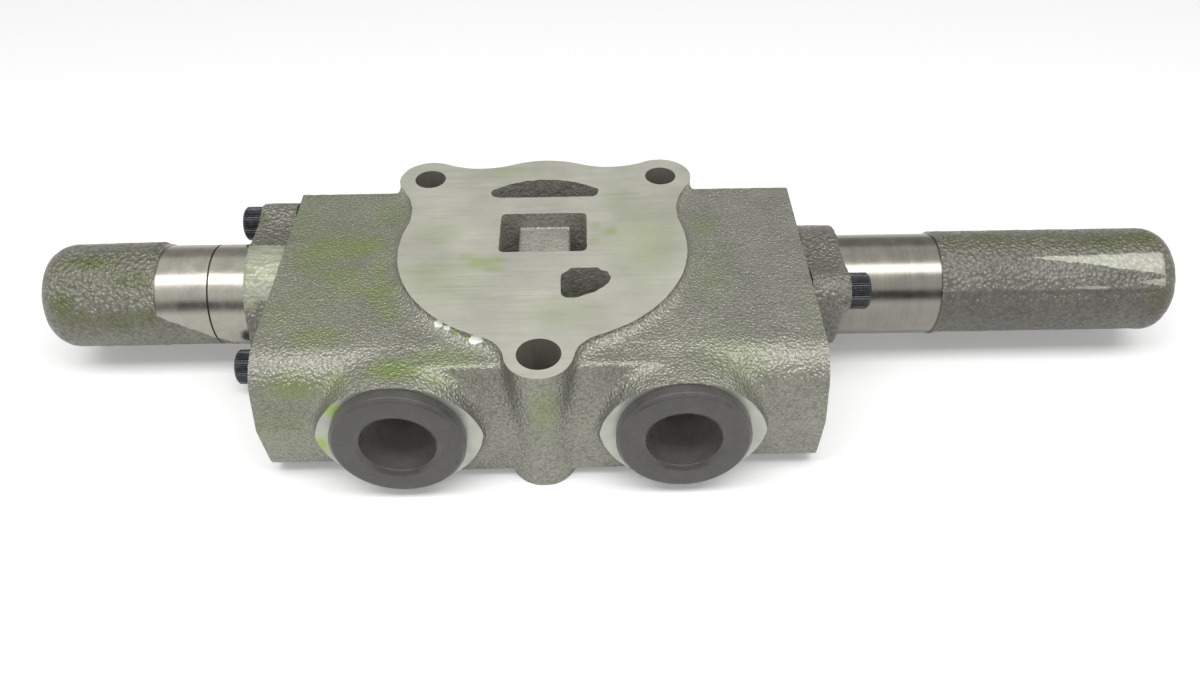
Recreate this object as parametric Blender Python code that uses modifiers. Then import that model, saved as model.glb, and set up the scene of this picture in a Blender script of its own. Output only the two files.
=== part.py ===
"""A spring-centred, pilot-operated directional valve section from a stacked valve bank.

A cast body carries the spool, a load check and two work ports. A short and a long
spring cap close the spool's two ends. Sizes are in millimetres and are turned to
metres as the meshes are made. +X runs along the spool, towards the long cap, the work
ports face -Y, and +Z is up through the stack. The origin is on the lower stack face,
midway between the two rear tie rods.
"""

from math import acos, atan2, cos, hypot, pi, radians, sin, sqrt, tan

import bmesh
import bpy
from mathutils import Matrix, Vector

MM = 0.001
GAP = 0.3  # between pieces that touch
WELD = 0.00001
THROUGH = 1.5  # how far a cutter runs past the face that it opens

# Stack: the three tie rods and the two ground faces
TIE_PITCH = 82.55
TIE_DEPTH = 92.3
TIE_TO_SPOOL = 34.1
REAR_TIE_DIA = 10.9
FRONT_TIE_DIA = 13.4
SECTION_THICKNESS = 47.6
PAD_PROUD = 2.6

# Outline of the ground pads
REAR_LOBE_RADIUS = 10.9
FRONT_LOBE_RADIUS = 10.4
PAD_RADIUS = 47.7
PAD_TO_FRONT_TIE = 52.2
BULGE_RADIUS = 31.0
BULGE_TOP_Y = 45.3
BULGE_FILLET = 28.0
WAIST_FILLET = 28.0
NECK_FILLET = 11.0

# Body casting, with its shoulders measured back from the front ridge
BODY_LENGTH = 173.0
BODY_BACK = 31.0
BACK_DRAFT = 0.7
BACK_CORNER = 1.0
RIDGE_BEHIND_PORTS = 2.8
UPPER_SHOULDER_BACK = 15.7
UPPER_SHOULDER_RADIUS = 13.0
LOWER_SHOULDER_BACK = 8.7
LOWER_SHOULDER_RADIUS = 6.0
FRONT_WALL_HALF_WIDTH = 36.0
FRONT_WALL_SLOPE = 5.2
FRONT_WALL_DROP = 0.4  # below the shoulder
FRONT_WALL_CORNER = 1.2

# Work ports
PORT_PITCH = 85.8
PORT_FACE = 68.0
PORT_FACE_HALF_WIDTH = 25.4
PORT_FACE_RADIUS = 22.7
PORT_TIP_FLAT = 1.2  # half the flat that ends each tip
PORT_TIP_NOSE = 0.5
PORT_BOSS_DEPTH = 22.0
PORT_BOSS_DRAFT = 4.5
PORT_BORE_DIA = 31.8
PORT_BORE_DEPTH = 19.0
PORT_MOUTH_CHAMFER = 1.3
PORT_LEDGE = 3.9
PORT_PASSAGE_FOOT = 1.0  # from the spool's bore to the passage's full width

# Galleries that open on the stack faces
CRESCENT_RADIUS = 30.0
CRESCENT_CENTRE_Y = 2.5
CRESCENT_FLAT_Y = 22.2
CRESCENT_END_X = 18.6
CRESCENT_END_RADIUS = 2.5
WINDOW_FRONT_Y = -9.2
WINDOW_BACK_Y = 12.1
WINDOW_CORNER = 1.7
SLOT_WIDTH = 5.7  # of the window's deep slots, one each side of the saddle
SADDLE_HALF_WIDTH = 8.9
SADDLE_TOP = 17.6
SADDLE_CORNER = 2.0
INLET_LEFT_X = 6.4
INLET_WIDTH = 15.6
INLET_BACK_Y = -18.4
INLET_DEPTH = 14.6
INLET_SIDE_DEPTH = 7.4
INLET_SIDE_DRAFT = 0.6
INLET_NOSE_WIDTH = 6.2
INLET_NOSE_DROP = 0.7
INLET_CORNER = 3.0
INLET_BACK_CORNER = 2.1
INLET_SHARP_CORNER = 1.5

# Spool bore and the ring-shaped cores around it
BORE_DIA = 22.3
CORE_DEPTH = 2.85
TANK_CORE_DEPTH = 5.85
CENTRE_CORE_END = 5.5
PORT_CORE_WIDTH = 14.0
PRESSURE_CORE_WIDTH = 6.0
TANK_CORE_WIDTH = 8.0
BORE_LAND = 7.0  # left between two cores
TANK_CHANNEL_Y = 20.3
TANK_CHANNEL_DIA = 8.8

# Load check and the pressure bridge
CHECK_X = -12.5
CHECK_Y = -26.0
CHECK_PLUG_BORE_DIA = 18.0
CHECK_PLUG_TOP = -11.0
CHECK_PLUG_RECESS = 0.9
CHECK_SEAT_Z = 5.0
CHECK_SEAT_DIA = 11.2
CHECK_SEAT_DEPTH = 2.0
CHECK_INLET_STEP = 0.9
CHECK_INLET_HEIGHT = 8.0
CHECK_INLET_CONE = 2.0
CHECK_CHAMBER_CLEARANCE = 1.0
CHECK_FEED_DIA = 7.2
BRIDGE_Y = -39.0
BRIDGE_Z = -2.0
BRIDGE_DIA = 7.2
BRIDGE_ARM_DIA = 5.8
POPPET_LAP = 1.6  # outside its seat
POPPET_NOSE = 1.4  # inside its seat
POPPET_HEAD = 3.0
POPPET_STEM_DIA = 6.4
CHECK_LIFT = 5.0
CHECK_GUIDE_WALL = 1.2
CHECK_KEY = 8.0
CHECK_KEY_DEPTH = 3.4
CHECK_WIRE = 1.1
CHECK_COILS = 4.0
CHECK_SPRING_DIA = 10.6
CHECK_SEAL_SECTION = 1.3
CHECK_SEAL_DROP = 1.4

# Spool, with its necks placed from the cores
SPOOL_NECK_DIA = 14.6
SPOOL_CHAMFER = 0.8
SPOOL_STROKE = 8.0
SPOOL_OVERRUN = 0.5  # left between a seat and the body at full stroke
CENTRE_NECK_LAP = 2.0
WINDOW_NECK_LAP = 3.1
PRESSURE_NECK_LAP = 4.0
PRESSURE_EDGE_LAP = 0.5
TANK_NECK_LAP = 2.0
NOTCH_DIA = 3.2
NOTCH_LENGTH = 2.4
NOTCHES = 4
SPOOL_THREAD_DEPTH = 16.0

# Spring caps
CAP_BARREL_DIA = 34.74
CAP_CAST_DIA = 35.8
CAP_HUB_DIA = 42.0
CAP_HUB_LENGTH = 12.5
CAP_HUB_CHAMFER = 1.0
CAP_EAR_THICKNESS = 12.3
CAP_EAR_RADIUS = 8.4
CAP_SCREW_CIRCLE = 51.8
CAP_SCREW_ANGLE = 35.0
CAP_END_RADIUS = 8.0
CAP_END_WALL = 12.0
CAST_STEP = 0.6
SHORT_CAP_END = 170.0
SHORT_CAP_TURNED_END = 130.6
LONG_CAP_END = 215.0
LONG_CAP_TURNED_END = 134.3
GAUGE_LINE_AT = 112.2
GAUGE_LINE_WIDTH = 0.6
GAUGE_LINE_DEPTH = 0.3
PILOT_PORT_DIA = 12.9
PILOT_CHAMFER = 0.8
SEAL_WALL = 0.9  # between a cap's cavity and its seal's groove
SEAL_SECTION = 2.6

# Cap screws
SCREW_DIA = 7.2
SCREW_CLEARANCE = 1.2
SCREW_HEAD_DIA = 11.9
SCREW_HEAD_HEIGHT = 7.9
SCREW_HEAD_CHAMFER = 0.7
SCREW_KEY = 6.35
SCREW_KEY_DEPTH = 4.0
SCREW_REACH = 17.5  # into the body
SCREW_DRILL_REACH = 2.5  # past the screw's end
SPOTFACE_CLEARANCE = 1.3
SPOTFACE_DEPTH = 1.4

# Spring seats and springs
SPRING_WIRE = 2.8
SPRING_DIA = 20.8  # to the middle of the wire
SHORT_SPRING_COILS = 8.0
LONG_SPRING_COILS = 10.0
SEAT_RIM = 0.6  # outside the spring
SEAT_CLEARANCE = 0.8
SEAT_THICKNESS = 3.0
SEAT_LIP_CLEARANCE = 0.6
SEAT_LIP_HEIGHT = 2.2
SEAT_SCREW_DIA = 7.0
SEAT_SCREW_HEAD_DIA = 12.0
SEAT_SCREW_HEAD_HEIGHT = 5.2
SEAT_SCREW_KEY = 5.0
SEAT_SCREW_KEY_DEPTH = 3.0
GUIDE_ROD_DIA = 8.4
GUIDE_ROD_REACH = 77.0  # past the spool's end
GUIDE_ROD_CHAMFER = 1.0
EDGE_BREAK = 0.5  # on small turned pieces

# Shipping plugs in the work ports
PLUG_FLANGE_LAP = 4.55
PLUG_FLANGE_THICKNESS = 4.4
PLUG_FLANGE_CHAMFER = 1.1
PLUG_WALL = 3.7
PLUG_STEP = 0.8
PLUG_STEP_DEPTH = 8.0
PLUG_FLOOR = 2.0
PLUG_FOOT_CHAMFER = 1.0
PLUG_TAPER = 0.4

ROUND = 24  # sides of the large round pieces
SMALL_ROUND = 16
DRILLED_ROUND = 12

HALF_THICKNESS = SECTION_THICKNESS / 2
HALF_LENGTH = BODY_LENGTH / 2
SHOULDER = HALF_THICKNESS - PAD_PROUD
REAR_TIE_Y = TIE_TO_SPOOL
FRONT_TIE_Y = TIE_TO_SPOOL - TIE_DEPTH
FRONT_RIDGE = PORT_FACE - RIDGE_BEHIND_PORTS
PAD_CENTRE_Y = FRONT_TIE_Y + PAD_TO_FRONT_TIE
PORT_PASSAGE_DIA = PORT_BORE_DIA - 2 * PORT_LEDGE
WINDOW_HALF_WIDTH = SADDLE_HALF_WIDTH + SLOT_WIDTH

CORE_DIA = BORE_DIA + 2 * CORE_DEPTH
TANK_CORE_DIA = BORE_DIA + 2 * TANK_CORE_DEPTH
PORT_CORE_START = (PORT_PITCH - PORT_CORE_WIDTH) / 2
PORT_CORE_END = (PORT_PITCH + PORT_CORE_WIDTH) / 2
PRESSURE_CORE_END = PORT_CORE_START - BORE_LAND
PRESSURE_CORE_START = PRESSURE_CORE_END - PRESSURE_CORE_WIDTH
TANK_CORE_START = PORT_CORE_END + BORE_LAND
TANK_CORE_END = TANK_CORE_START + TANK_CORE_WIDTH

SPOOL_DIA = BORE_DIA - 2 * GAP
SPOOL_HALF_LENGTH = HALF_LENGTH + SPOOL_STROKE + SPOOL_OVERRUN
SPOOL_THREAD_DIA = SEAT_SCREW_DIA + 2 * GAP
CENTRE_NECK = (CENTRE_CORE_END - CENTRE_NECK_LAP, SADDLE_HALF_WIDTH + WINDOW_NECK_LAP)
PRESSURE_NECK = (PRESSURE_CORE_START - PRESSURE_NECK_LAP, PRESSURE_CORE_END + PRESSURE_EDGE_LAP)
TANK_NECK = (TANK_CORE_START - TANK_NECK_LAP, TANK_CORE_END + TANK_NECK_LAP)

SEAT_DIA = SPRING_DIA + SPRING_WIRE + 2 * SEAT_RIM
SEAT_LIP_DIA = SPRING_DIA - SPRING_WIRE - 2 * SEAT_LIP_CLEARANCE
SEAT_TOP = SPOOL_HALF_LENGTH + GAP + SEAT_THICKNESS
SEAT_SCREW_UNDER = SEAT_TOP + SEAT_LIP_HEIGHT + GAP
SEAT_SCREW_TOP = SEAT_SCREW_UNDER + SEAT_SCREW_HEAD_HEIGHT
GUIDE_ROD_END = SPOOL_HALF_LENGTH + GUIDE_ROD_REACH

CAP_FACE = HALF_LENGTH + GAP
CAP_HUB_END = CAP_FACE + CAP_HUB_LENGTH
CAP_EAR_FACE = CAP_FACE + CAP_EAR_THICKNESS
CAP_CAVITY_DIA = SEAT_DIA + 2 * SEAT_CLEARANCE
SEAL_DIA = CAP_CAVITY_DIA + 2 * (SEAL_WALL + GAP) + SEAL_SECTION
SEAL_GROOVE_INNER = (SEAL_DIA - SEAL_SECTION) / 2 - GAP
SEAL_GROOVE_OUTER = (SEAL_DIA + SEAL_SECTION) / 2 + GAP
SPOTFACE_DIA = SCREW_HEAD_DIA + SPOTFACE_CLEARANCE
SCREW_SEAT = CAP_EAR_FACE - SPOTFACE_DEPTH

CHECK_INLET_DIA = CHECK_SEAT_DIA + 2 * CHECK_INLET_STEP
CHECK_INLET_FOOT = CHECK_SEAT_Z + CHECK_SEAT_DEPTH
CHECK_INLET_TOP = CHECK_INLET_FOOT + CHECK_INLET_HEIGHT
POPPET_DIA = CHECK_SEAT_DIA + 2 * POPPET_LAP
POPPET_NOSE_DIA = CHECK_SEAT_DIA - 2 * POPPET_NOSE
CHECK_CHAMBER_DIA = POPPET_DIA + 2 * CHECK_CHAMBER_CLEARANCE

PLUG_CUP_DIA = PORT_BORE_DIA - 2 * PLUG_WALL
PLUG_STEP_DIA = PLUG_CUP_DIA - 2 * PLUG_STEP
PLUG_FLANGE_DIA = PORT_BORE_DIA + 2 * PLUG_FLANGE_LAP

ALONG_X = Matrix(((0, 0, 1, 0), (1, 0, 0, 0), (0, 1, 0, 0), (0, 0, 0, 1)))
ALONG_Z = Matrix.Identity(4)
ACROSS = (0.0, radians(90), 0.0)  # turns a piece's own Z to the spool's axis
ACROSS_LEFT = (0.0, radians(90), radians(180))
OUTWARD = (radians(90), 0.0, 0.0)  # turns a piece's own Z to a work port's axis

PARTS = bpy.data.collections.new("directional_valve_section")
CUTTERS = bpy.data.collections.new("cutters")


# Outlines

def arc(centre, radius, start, end, steps):
    """Points on an arc, with its angles in degrees."""
    angles = [radians(start + (end - start) * i / steps) for i in range(steps + 1)]
    return [(centre[0] + radius * cos(a), centre[1] + radius * sin(a)) for a in angles]


def mirrored(points):
    """An outline's right half, with its left half added from the mirror."""
    left = [(-x, y) for x, y in reversed(points) if abs(x) > 1e-6]
    return points + left


def rounded(corners, radii, steps):
    """A polygon with each corner rounded by its own radius."""
    points = []
    count = len(corners)
    for i, corner in enumerate(corners):
        here = Vector(corner)
        before = (Vector(corners[i - 1]) - here).normalized()
        after = (Vector(corners[(i + 1) % count]) - here).normalized()
        half = before.angle(after) / 2
        radius = radii[i]
        centre = here + (before + after).normalized() * (radius / sin(half))
        start = here + before * (radius / tan(half)) - centre
        end = here + after * (radius / tan(half)) - centre
        first = atan2(start.y, start.x)
        turn = (atan2(end.y, end.x) - first + pi) % (2 * pi) - pi
        for k in range(steps + 1):
            angle = first + turn * k / steps
            points.append((centre.x + radius * cos(angle), centre.y + radius * sin(angle)))
    return points


def fillet_centre(c1, r1, c2, r2, radius, side):
    """The centre of a fillet that touches two circles from outside."""
    a = r1 + radius
    b = r2 + radius
    span = hypot(c2[0] - c1[0], c2[1] - c1[1])
    along = (a * a - b * b + span * span) / (2 * span)
    across = sqrt(a * a - along * along)
    ux = (c2[0] - c1[0]) / span
    uy = (c2[1] - c1[1]) / span
    return (c1[0] + ux * along - side * uy * across, c1[1] + uy * along + side * ux * across)


def bearing(origin, point):
    return atan2(point[1] - origin[1], point[0] - origin[0]) * 180 / pi


def pad_outline():
    """The ground pad: a disc with a rear bulge, two rear lobes and a front lobe."""
    bulge = (0.0, BULGE_TOP_Y - BULGE_RADIUS)
    lobe = (TIE_PITCH / 2, REAR_TIE_Y)
    disc = (0.0, PAD_CENTRE_Y)
    nose = (0.0, FRONT_TIE_Y)
    dip = fillet_centre(bulge, BULGE_RADIUS, lobe, REAR_LOBE_RADIUS, BULGE_FILLET, 1)
    waist = fillet_centre(lobe, REAR_LOBE_RADIUS, disc, PAD_RADIUS, WAIST_FILLET, 1)
    neck = fillet_centre(disc, PAD_RADIUS, nose, FRONT_LOBE_RADIUS, NECK_FILLET, 1)
    lobe_end = bearing(lobe, waist)
    right = arc(bulge, BULGE_RADIUS, 90, bearing(bulge, dip), 5)
    right += arc(dip, BULGE_FILLET, bearing(dip, bulge), bearing(dip, lobe), 3)[1:-1]
    right += arc(lobe, REAR_LOBE_RADIUS, bearing(lobe, dip), lobe_end, 8)
    right += arc(waist, WAIST_FILLET, bearing(waist, lobe) % 360, bearing(waist, disc) % 360, 4)[1:-1]
    right += arc(disc, PAD_RADIUS, bearing(disc, waist), bearing(disc, neck), 9)
    right += arc(neck, NECK_FILLET, bearing(neck, disc), bearing(neck, nose) % 360, 5)[1:-1]
    right += arc(nose, FRONT_LOBE_RADIUS, bearing(nose, neck), -90, 6)
    return mirrored(right)


def casting_profile():
    """The body across the spool, with the work ports' side at -Y."""
    upper = (UPPER_SHOULDER_BACK - FRONT_RIDGE, SHOULDER - UPPER_SHOULDER_RADIUS)
    lower = (LOWER_SHOULDER_BACK - FRONT_RIDGE, LOWER_SHOULDER_RADIUS - SHOULDER)
    back = BODY_BACK - BACK_DRAFT
    rear_upper = (back - BACK_CORNER, SHOULDER - BACK_CORNER)
    rear_lower = (back - BACK_CORNER, BACK_CORNER - SHOULDER)
    points = arc(rear_lower, BACK_CORNER, -90, 0, 3)
    points.append((BODY_BACK, 0.0))
    points += arc(rear_upper, BACK_CORNER, 0, 90, 3)
    points += arc(upper, UPPER_SHOULDER_RADIUS, 90, 168, 6)
    points.append((-FRONT_RIDGE, 0.0))
    points += arc(lower, LOWER_SHOULDER_RADIUS, 190, 270, 4)
    return points


def front_wall_profile():
    """The straighter wall between the two port bosses."""
    height = SHOULDER - FRONT_WALL_DROP
    crest = FRONT_WALL_SLOPE - FRONT_RIDGE
    corners = [
        (0.0, -height),
        (0.0, height),
        (crest, height),
        (-FRONT_RIDGE, 0.0),
        (crest, -height),
    ]
    return rounded(corners, (FRONT_WALL_CORNER,) * 5, 3)


def port_face_outline(grow):
    """A circle drawn out to two blunt tips on the parting line, cut level with the shoulders."""
    radius = PORT_FACE_RADIUS + grow
    width = PORT_FACE_HALF_WIDTH + grow
    touch = acos(radius / width) * 180 / pi
    level = SHOULDER - FRONT_WALL_DROP / 2
    flank = width - PORT_TIP_NOSE
    tip = [(flank, -PORT_TIP_FLAT), (width, 0.0), (flank, PORT_TIP_FLAT)]
    upper = arc((0.0, 0.0), radius, touch, 180 - touch, 9)
    far_tip = [(-x, -z) for x, z in tip]
    lower = arc((0.0, 0.0), radius, 180 + touch, 360 - touch, 9)
    return [(x, max(-level, min(level, z))) for x, z in tip + upper + far_tip + lower]


def crescent_outline():
    end = CRESCENT_END_RADIUS
    x = CRESCENT_END_X - end
    centre = (x, CRESCENT_FLAT_Y + end)
    reach = CRESCENT_RADIUS - end
    y = CRESCENT_CENTRE_Y + sqrt(reach * reach - x * x)
    top = bearing((0.0, CRESCENT_CENTRE_Y), (x, y))
    right = arc((0.0, CRESCENT_CENTRE_Y), CRESCENT_RADIUS, 90, top, 6)
    right += arc(centre, end, top, -90, 5)[1:]
    return mirrored(right)


def window_outline(half_width):
    corners = [
        (-half_width, WINDOW_FRONT_Y),
        (half_width, WINDOW_FRONT_Y),
        (half_width, WINDOW_BACK_Y),
        (-half_width, WINDOW_BACK_Y),
    ]
    return rounded(corners, (WINDOW_CORNER,) * 4, 3)


def inlet_outline():
    """The quarter-shaped pressure gallery, wide at the back and pointed at the front."""
    right = INLET_LEFT_X + INLET_WIDTH
    front = INLET_BACK_Y - INLET_DEPTH
    corners = [
        (INLET_LEFT_X, INLET_BACK_Y),
        (right, INLET_BACK_Y),
        (right - INLET_SIDE_DRAFT, INLET_BACK_Y - INLET_SIDE_DEPTH),
        (INLET_LEFT_X + INLET_NOSE_WIDTH, front + INLET_NOSE_DROP),
        (INLET_LEFT_X, front),
    ]
    sharp = INLET_SHARP_CORNER
    return rounded(corners, (INLET_BACK_CORNER, INLET_CORNER, sharp, INLET_CORNER, sharp), 3)


def ear_outline():
    """Two round ears across the cap, in the plane across its own Z."""
    half = CAP_SCREW_CIRCLE / 2
    tip = arc((half, 0.0), CAP_EAR_RADIUS, -90, 90, 8)
    tail = arc((-half, 0.0), CAP_EAR_RADIUS, 90, 270, 8)
    turn = radians(CAP_SCREW_ANGLE) + pi / 2
    points = tip + tail
    return [(x * cos(turn) + y * sin(turn), y * cos(turn) - x * sin(turn)) for x, y in points]


# Solids

def empty(name, parent, location=(0, 0, 0), rotation=(0, 0, 0)):
    obj = bpy.data.objects.new(name, None)
    obj.parent = parent
    obj.location = [v * MM for v in location]
    obj.rotation_euler = rotation
    PARTS.objects.link(obj)
    return obj


def add(name, mesh, collection, parent, location=(0, 0, 0)):
    obj = bpy.data.objects.new(name, mesh)
    obj.parent = parent
    obj.location = [v * MM for v in location]
    collection.objects.link(obj)
    if collection is CUTTERS:
        obj.hide_render = True
        obj.display_type = "WIRE"
    return obj


def plate(name, outline, low, high, parent, axis=ALONG_Z, collection=CUTTERS):
    """A flat outline with a thickness, made as a filled curve and welded into a mesh."""
    curve = bpy.data.curves.new(name, "CURVE")
    curve.dimensions = "2D"
    curve.fill_mode = "BOTH"
    curve.extrude = (high - low) / 2 * MM
    spline = curve.splines.new("POLY")
    spline.points.add(len(outline) - 1)
    for point, (x, y) in zip(spline.points, outline):
        point.co = (x * MM, y * MM, 0, 1)
    spline.use_cyclic_u = True
    drawn = bpy.data.objects.new(name + "_curve", curve)
    CUTTERS.objects.link(drawn)
    graph = bpy.context.evaluated_depsgraph_get()
    mesh = bpy.data.meshes.new_from_object(drawn.evaluated_get(graph))
    bpy.data.objects.remove(drawn, do_unlink=True)
    mesh.transform(axis @ Matrix.Translation((0, 0, (low + high) / 2 * MM)))
    weld(mesh)
    return add(name, mesh, collection, parent)


def weld(mesh):
    shape = bmesh.new()
    shape.from_mesh(mesh)
    bmesh.ops.remove_doubles(shape, verts=shape.verts, dist=WELD)
    bmesh.ops.recalc_face_normals(shape, faces=shape.faces)
    shape.to_mesh(mesh)
    shape.free()


def loft(name, first, last, low, high, parent):
    """A solid along its own Z between two outlines with as many points each."""
    shape = bmesh.new()
    foot = [shape.verts.new((x * MM, y * MM, low * MM)) for x, y in first]
    base = shape.faces.new(foot)
    grown = bmesh.ops.extrude_face_region(shape, geom=[base], use_keep_orig=True)
    raised = {v for v in grown["geom"] if isinstance(v, bmesh.types.BMVert)}
    for vert, (x, y) in zip(foot, last):
        above = next(e.other_vert(vert) for e in vert.link_edges if e.other_vert(vert) in raised)
        above.co = (x * MM, y * MM, high * MM)
    mesh = bpy.data.meshes.new(name)
    shape.to_mesh(mesh)
    shape.free()
    weld(mesh)
    return add(name, mesh, CUTTERS, parent)


def turned(name, profile, parent, collection=CUTTERS, steps=ROUND, location=(0, 0, 0)):
    """A turned solid about its own Z, from (height, radius) points that run down its outside.

    A profile that doesn't start and end on the axis is closed into a ring.
    """
    mesh = bpy.data.meshes.new(name)
    points = [(radius * MM, 0.0, height * MM) for height, radius in profile]
    edges = [(i, i + 1) for i in range(len(points) - 1)]
    if profile[0][1] > 0:
        edges.append((len(points) - 1, 0))
    mesh.from_pydata(points, edges, [])
    obj = add(name, mesh, collection, parent, location)
    screw = obj.modifiers.new("turn", "SCREW")
    screw.steps = steps
    screw.render_steps = steps
    screw.use_merge_vertices = True
    screw.merge_threshold = WELD
    return obj


def rod(name, diameter, low, high, parent, location=(0, 0, 0), rotation=(0, 0, 0), sides=SMALL_ROUND):
    """A round or many-sided bar along its own Z."""
    shape = bmesh.new()
    bmesh.ops.create_cone(
        shape,
        cap_ends=True,
        segments=sides,
        radius1=diameter / 2 * MM,
        radius2=diameter / 2 * MM,
        depth=(high - low) * MM,
        matrix=Matrix.Translation((0, 0, (low + high) / 2 * MM)),
    )
    mesh = bpy.data.meshes.new(name)
    shape.to_mesh(mesh)
    shape.free()
    obj = add(name, mesh, CUTTERS, parent, location)
    obj.rotation_euler = rotation
    return obj


def coil(name, diameter, wire, low, high, coils, parent, location=(0, 0, 0)):
    """A compression spring whose first and last coils are closed."""
    closed = wire * 1.06
    start = low + wire / 2
    end = high - wire / 2
    pitch = (end - start - 2 * closed) / (coils - 2)
    per_turn = 8
    curve = bpy.data.curves.new(name, "CURVE")
    curve.dimensions = "3D"
    curve.bevel_depth = wire / 2 * MM
    curve.bevel_resolution = 2
    curve.use_fill_caps = True
    spline = curve.splines.new("POLY")
    count = round(coils * per_turn) + 1
    spline.points.add(count - 1)
    for i, point in enumerate(spline.points):
        turn = i / per_turn
        lower = min(turn, 1.0)
        upper = max(turn - (coils - 1), 0.0)
        height = start + closed * (lower + upper) + pitch * (turn - lower - upper)
        angle = turn * 2 * pi
        x = diameter / 2 * cos(angle)
        y = diameter / 2 * sin(angle)
        point.co = (x * MM, y * MM, height * MM, 1)
    return add(name, curve, PARTS, parent, location)


def boolean(target, tool, operation):
    step = target.modifiers.new(tool.name, "BOOLEAN")
    step.operation = operation
    step.solver = "EXACT"
    step.object = tool


def cut(target, *tools):
    for tool in tools:
        boolean(target, tool, "DIFFERENCE")


def join(target, *tools):
    for tool in tools:
        boolean(target, tool, "UNION")


def finish(obj, material):
    """Keeps the evaluated shape as the part's own mesh, smooth where it is round."""
    bpy.context.view_layer.update()
    graph = bpy.context.evaluated_depsgraph_get()
    mesh = bpy.data.meshes.new_from_object(obj.evaluated_get(graph))
    obj.modifiers.clear()
    obj.data = mesh
    mesh.name = obj.name
    mesh.shade_smooth()
    mesh.set_sharp_from_angle(angle=radians(35))
    mesh.materials.clear()
    mesh.materials.append(material)
    return obj


def finish_curve(obj, material):
    obj.data.materials.append(material)
    return obj


def material(name, colour, roughness, metallic):
    made = bpy.data.materials.new(name)
    made.use_nodes = True
    shader = made.node_tree.nodes["Principled BSDF"]
    shader.inputs["Base Color"].default_value = (*colour, 1.0)
    shader.inputs["Roughness"].default_value = roughness
    shader.inputs["Metallic"].default_value = metallic
    made.diffuse_color = (*colour, 1.0)
    return made


# The body

def spool_bore_profile():
    """The spool's bore with its annular cores, from the long cap's end to the short one's."""
    bore = BORE_DIA / 2
    core = CORE_DIA / 2
    steps = [
        (TANK_CORE_START, TANK_CORE_END, TANK_CORE_DIA / 2),
        (PORT_CORE_START, PORT_CORE_END, core),
        (PRESSURE_CORE_START, PRESSURE_CORE_END, core),
        (SADDLE_HALF_WIDTH + GAP, WINDOW_HALF_WIDTH - GAP, core),
    ]
    right = [(HALF_LENGTH + THROUGH, 0.0), (HALF_LENGTH + THROUGH, bore)]
    for inner, outer, radius in steps:
        right += [(outer, bore), (outer, radius), (inner, radius), (inner, bore)]
    right += [(CENTRE_CORE_END, bore), (CENTRE_CORE_END, core)]
    return right + [(-x, r) for x, r in reversed(right)]


def check_cavity_profile():
    """The load check's cavity, from its closed top down to the lower stack face."""
    inlet = CHECK_INLET_DIA / 2
    seat = CHECK_SEAT_DIA / 2
    chamber = CHECK_CHAMBER_DIA / 2
    plug = CHECK_PLUG_BORE_DIA / 2
    shelf = CHECK_PLUG_TOP + GAP
    mouth = -HALF_THICKNESS - THROUGH
    return [
        (CHECK_INLET_TOP, 0.0),
        (CHECK_INLET_TOP - CHECK_INLET_CONE, inlet),
        (CHECK_INLET_FOOT, inlet),
        (CHECK_INLET_FOOT, seat),
        (CHECK_SEAT_Z, seat),
        (CHECK_SEAT_Z, chamber),
        (shelf, chamber),
        (shelf, plug),
        (mouth, plug),
        (mouth, 0.0),
    ]


def port_cavity_profile():
    """A work port, from past its face in to the spool's bore."""
    bore = PORT_BORE_DIA / 2
    mouth = bore + PORT_MOUTH_CHAMFER
    ledge = PORT_FACE - PORT_BORE_DEPTH
    passage = PORT_PASSAGE_DIA / 2
    return [
        (PORT_FACE + THROUGH, 0.0),
        (PORT_FACE + THROUGH, mouth),
        (PORT_FACE, mouth),
        (PORT_FACE - 2 * PORT_MOUTH_CHAMFER, bore),
        (ledge, bore),
        (ledge, passage),
        (BORE_DIA / 2 + PORT_PASSAGE_FOOT, passage),
        (BORE_DIA / 2 - PORT_PASSAGE_FOOT, 0.0),
    ]


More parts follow.
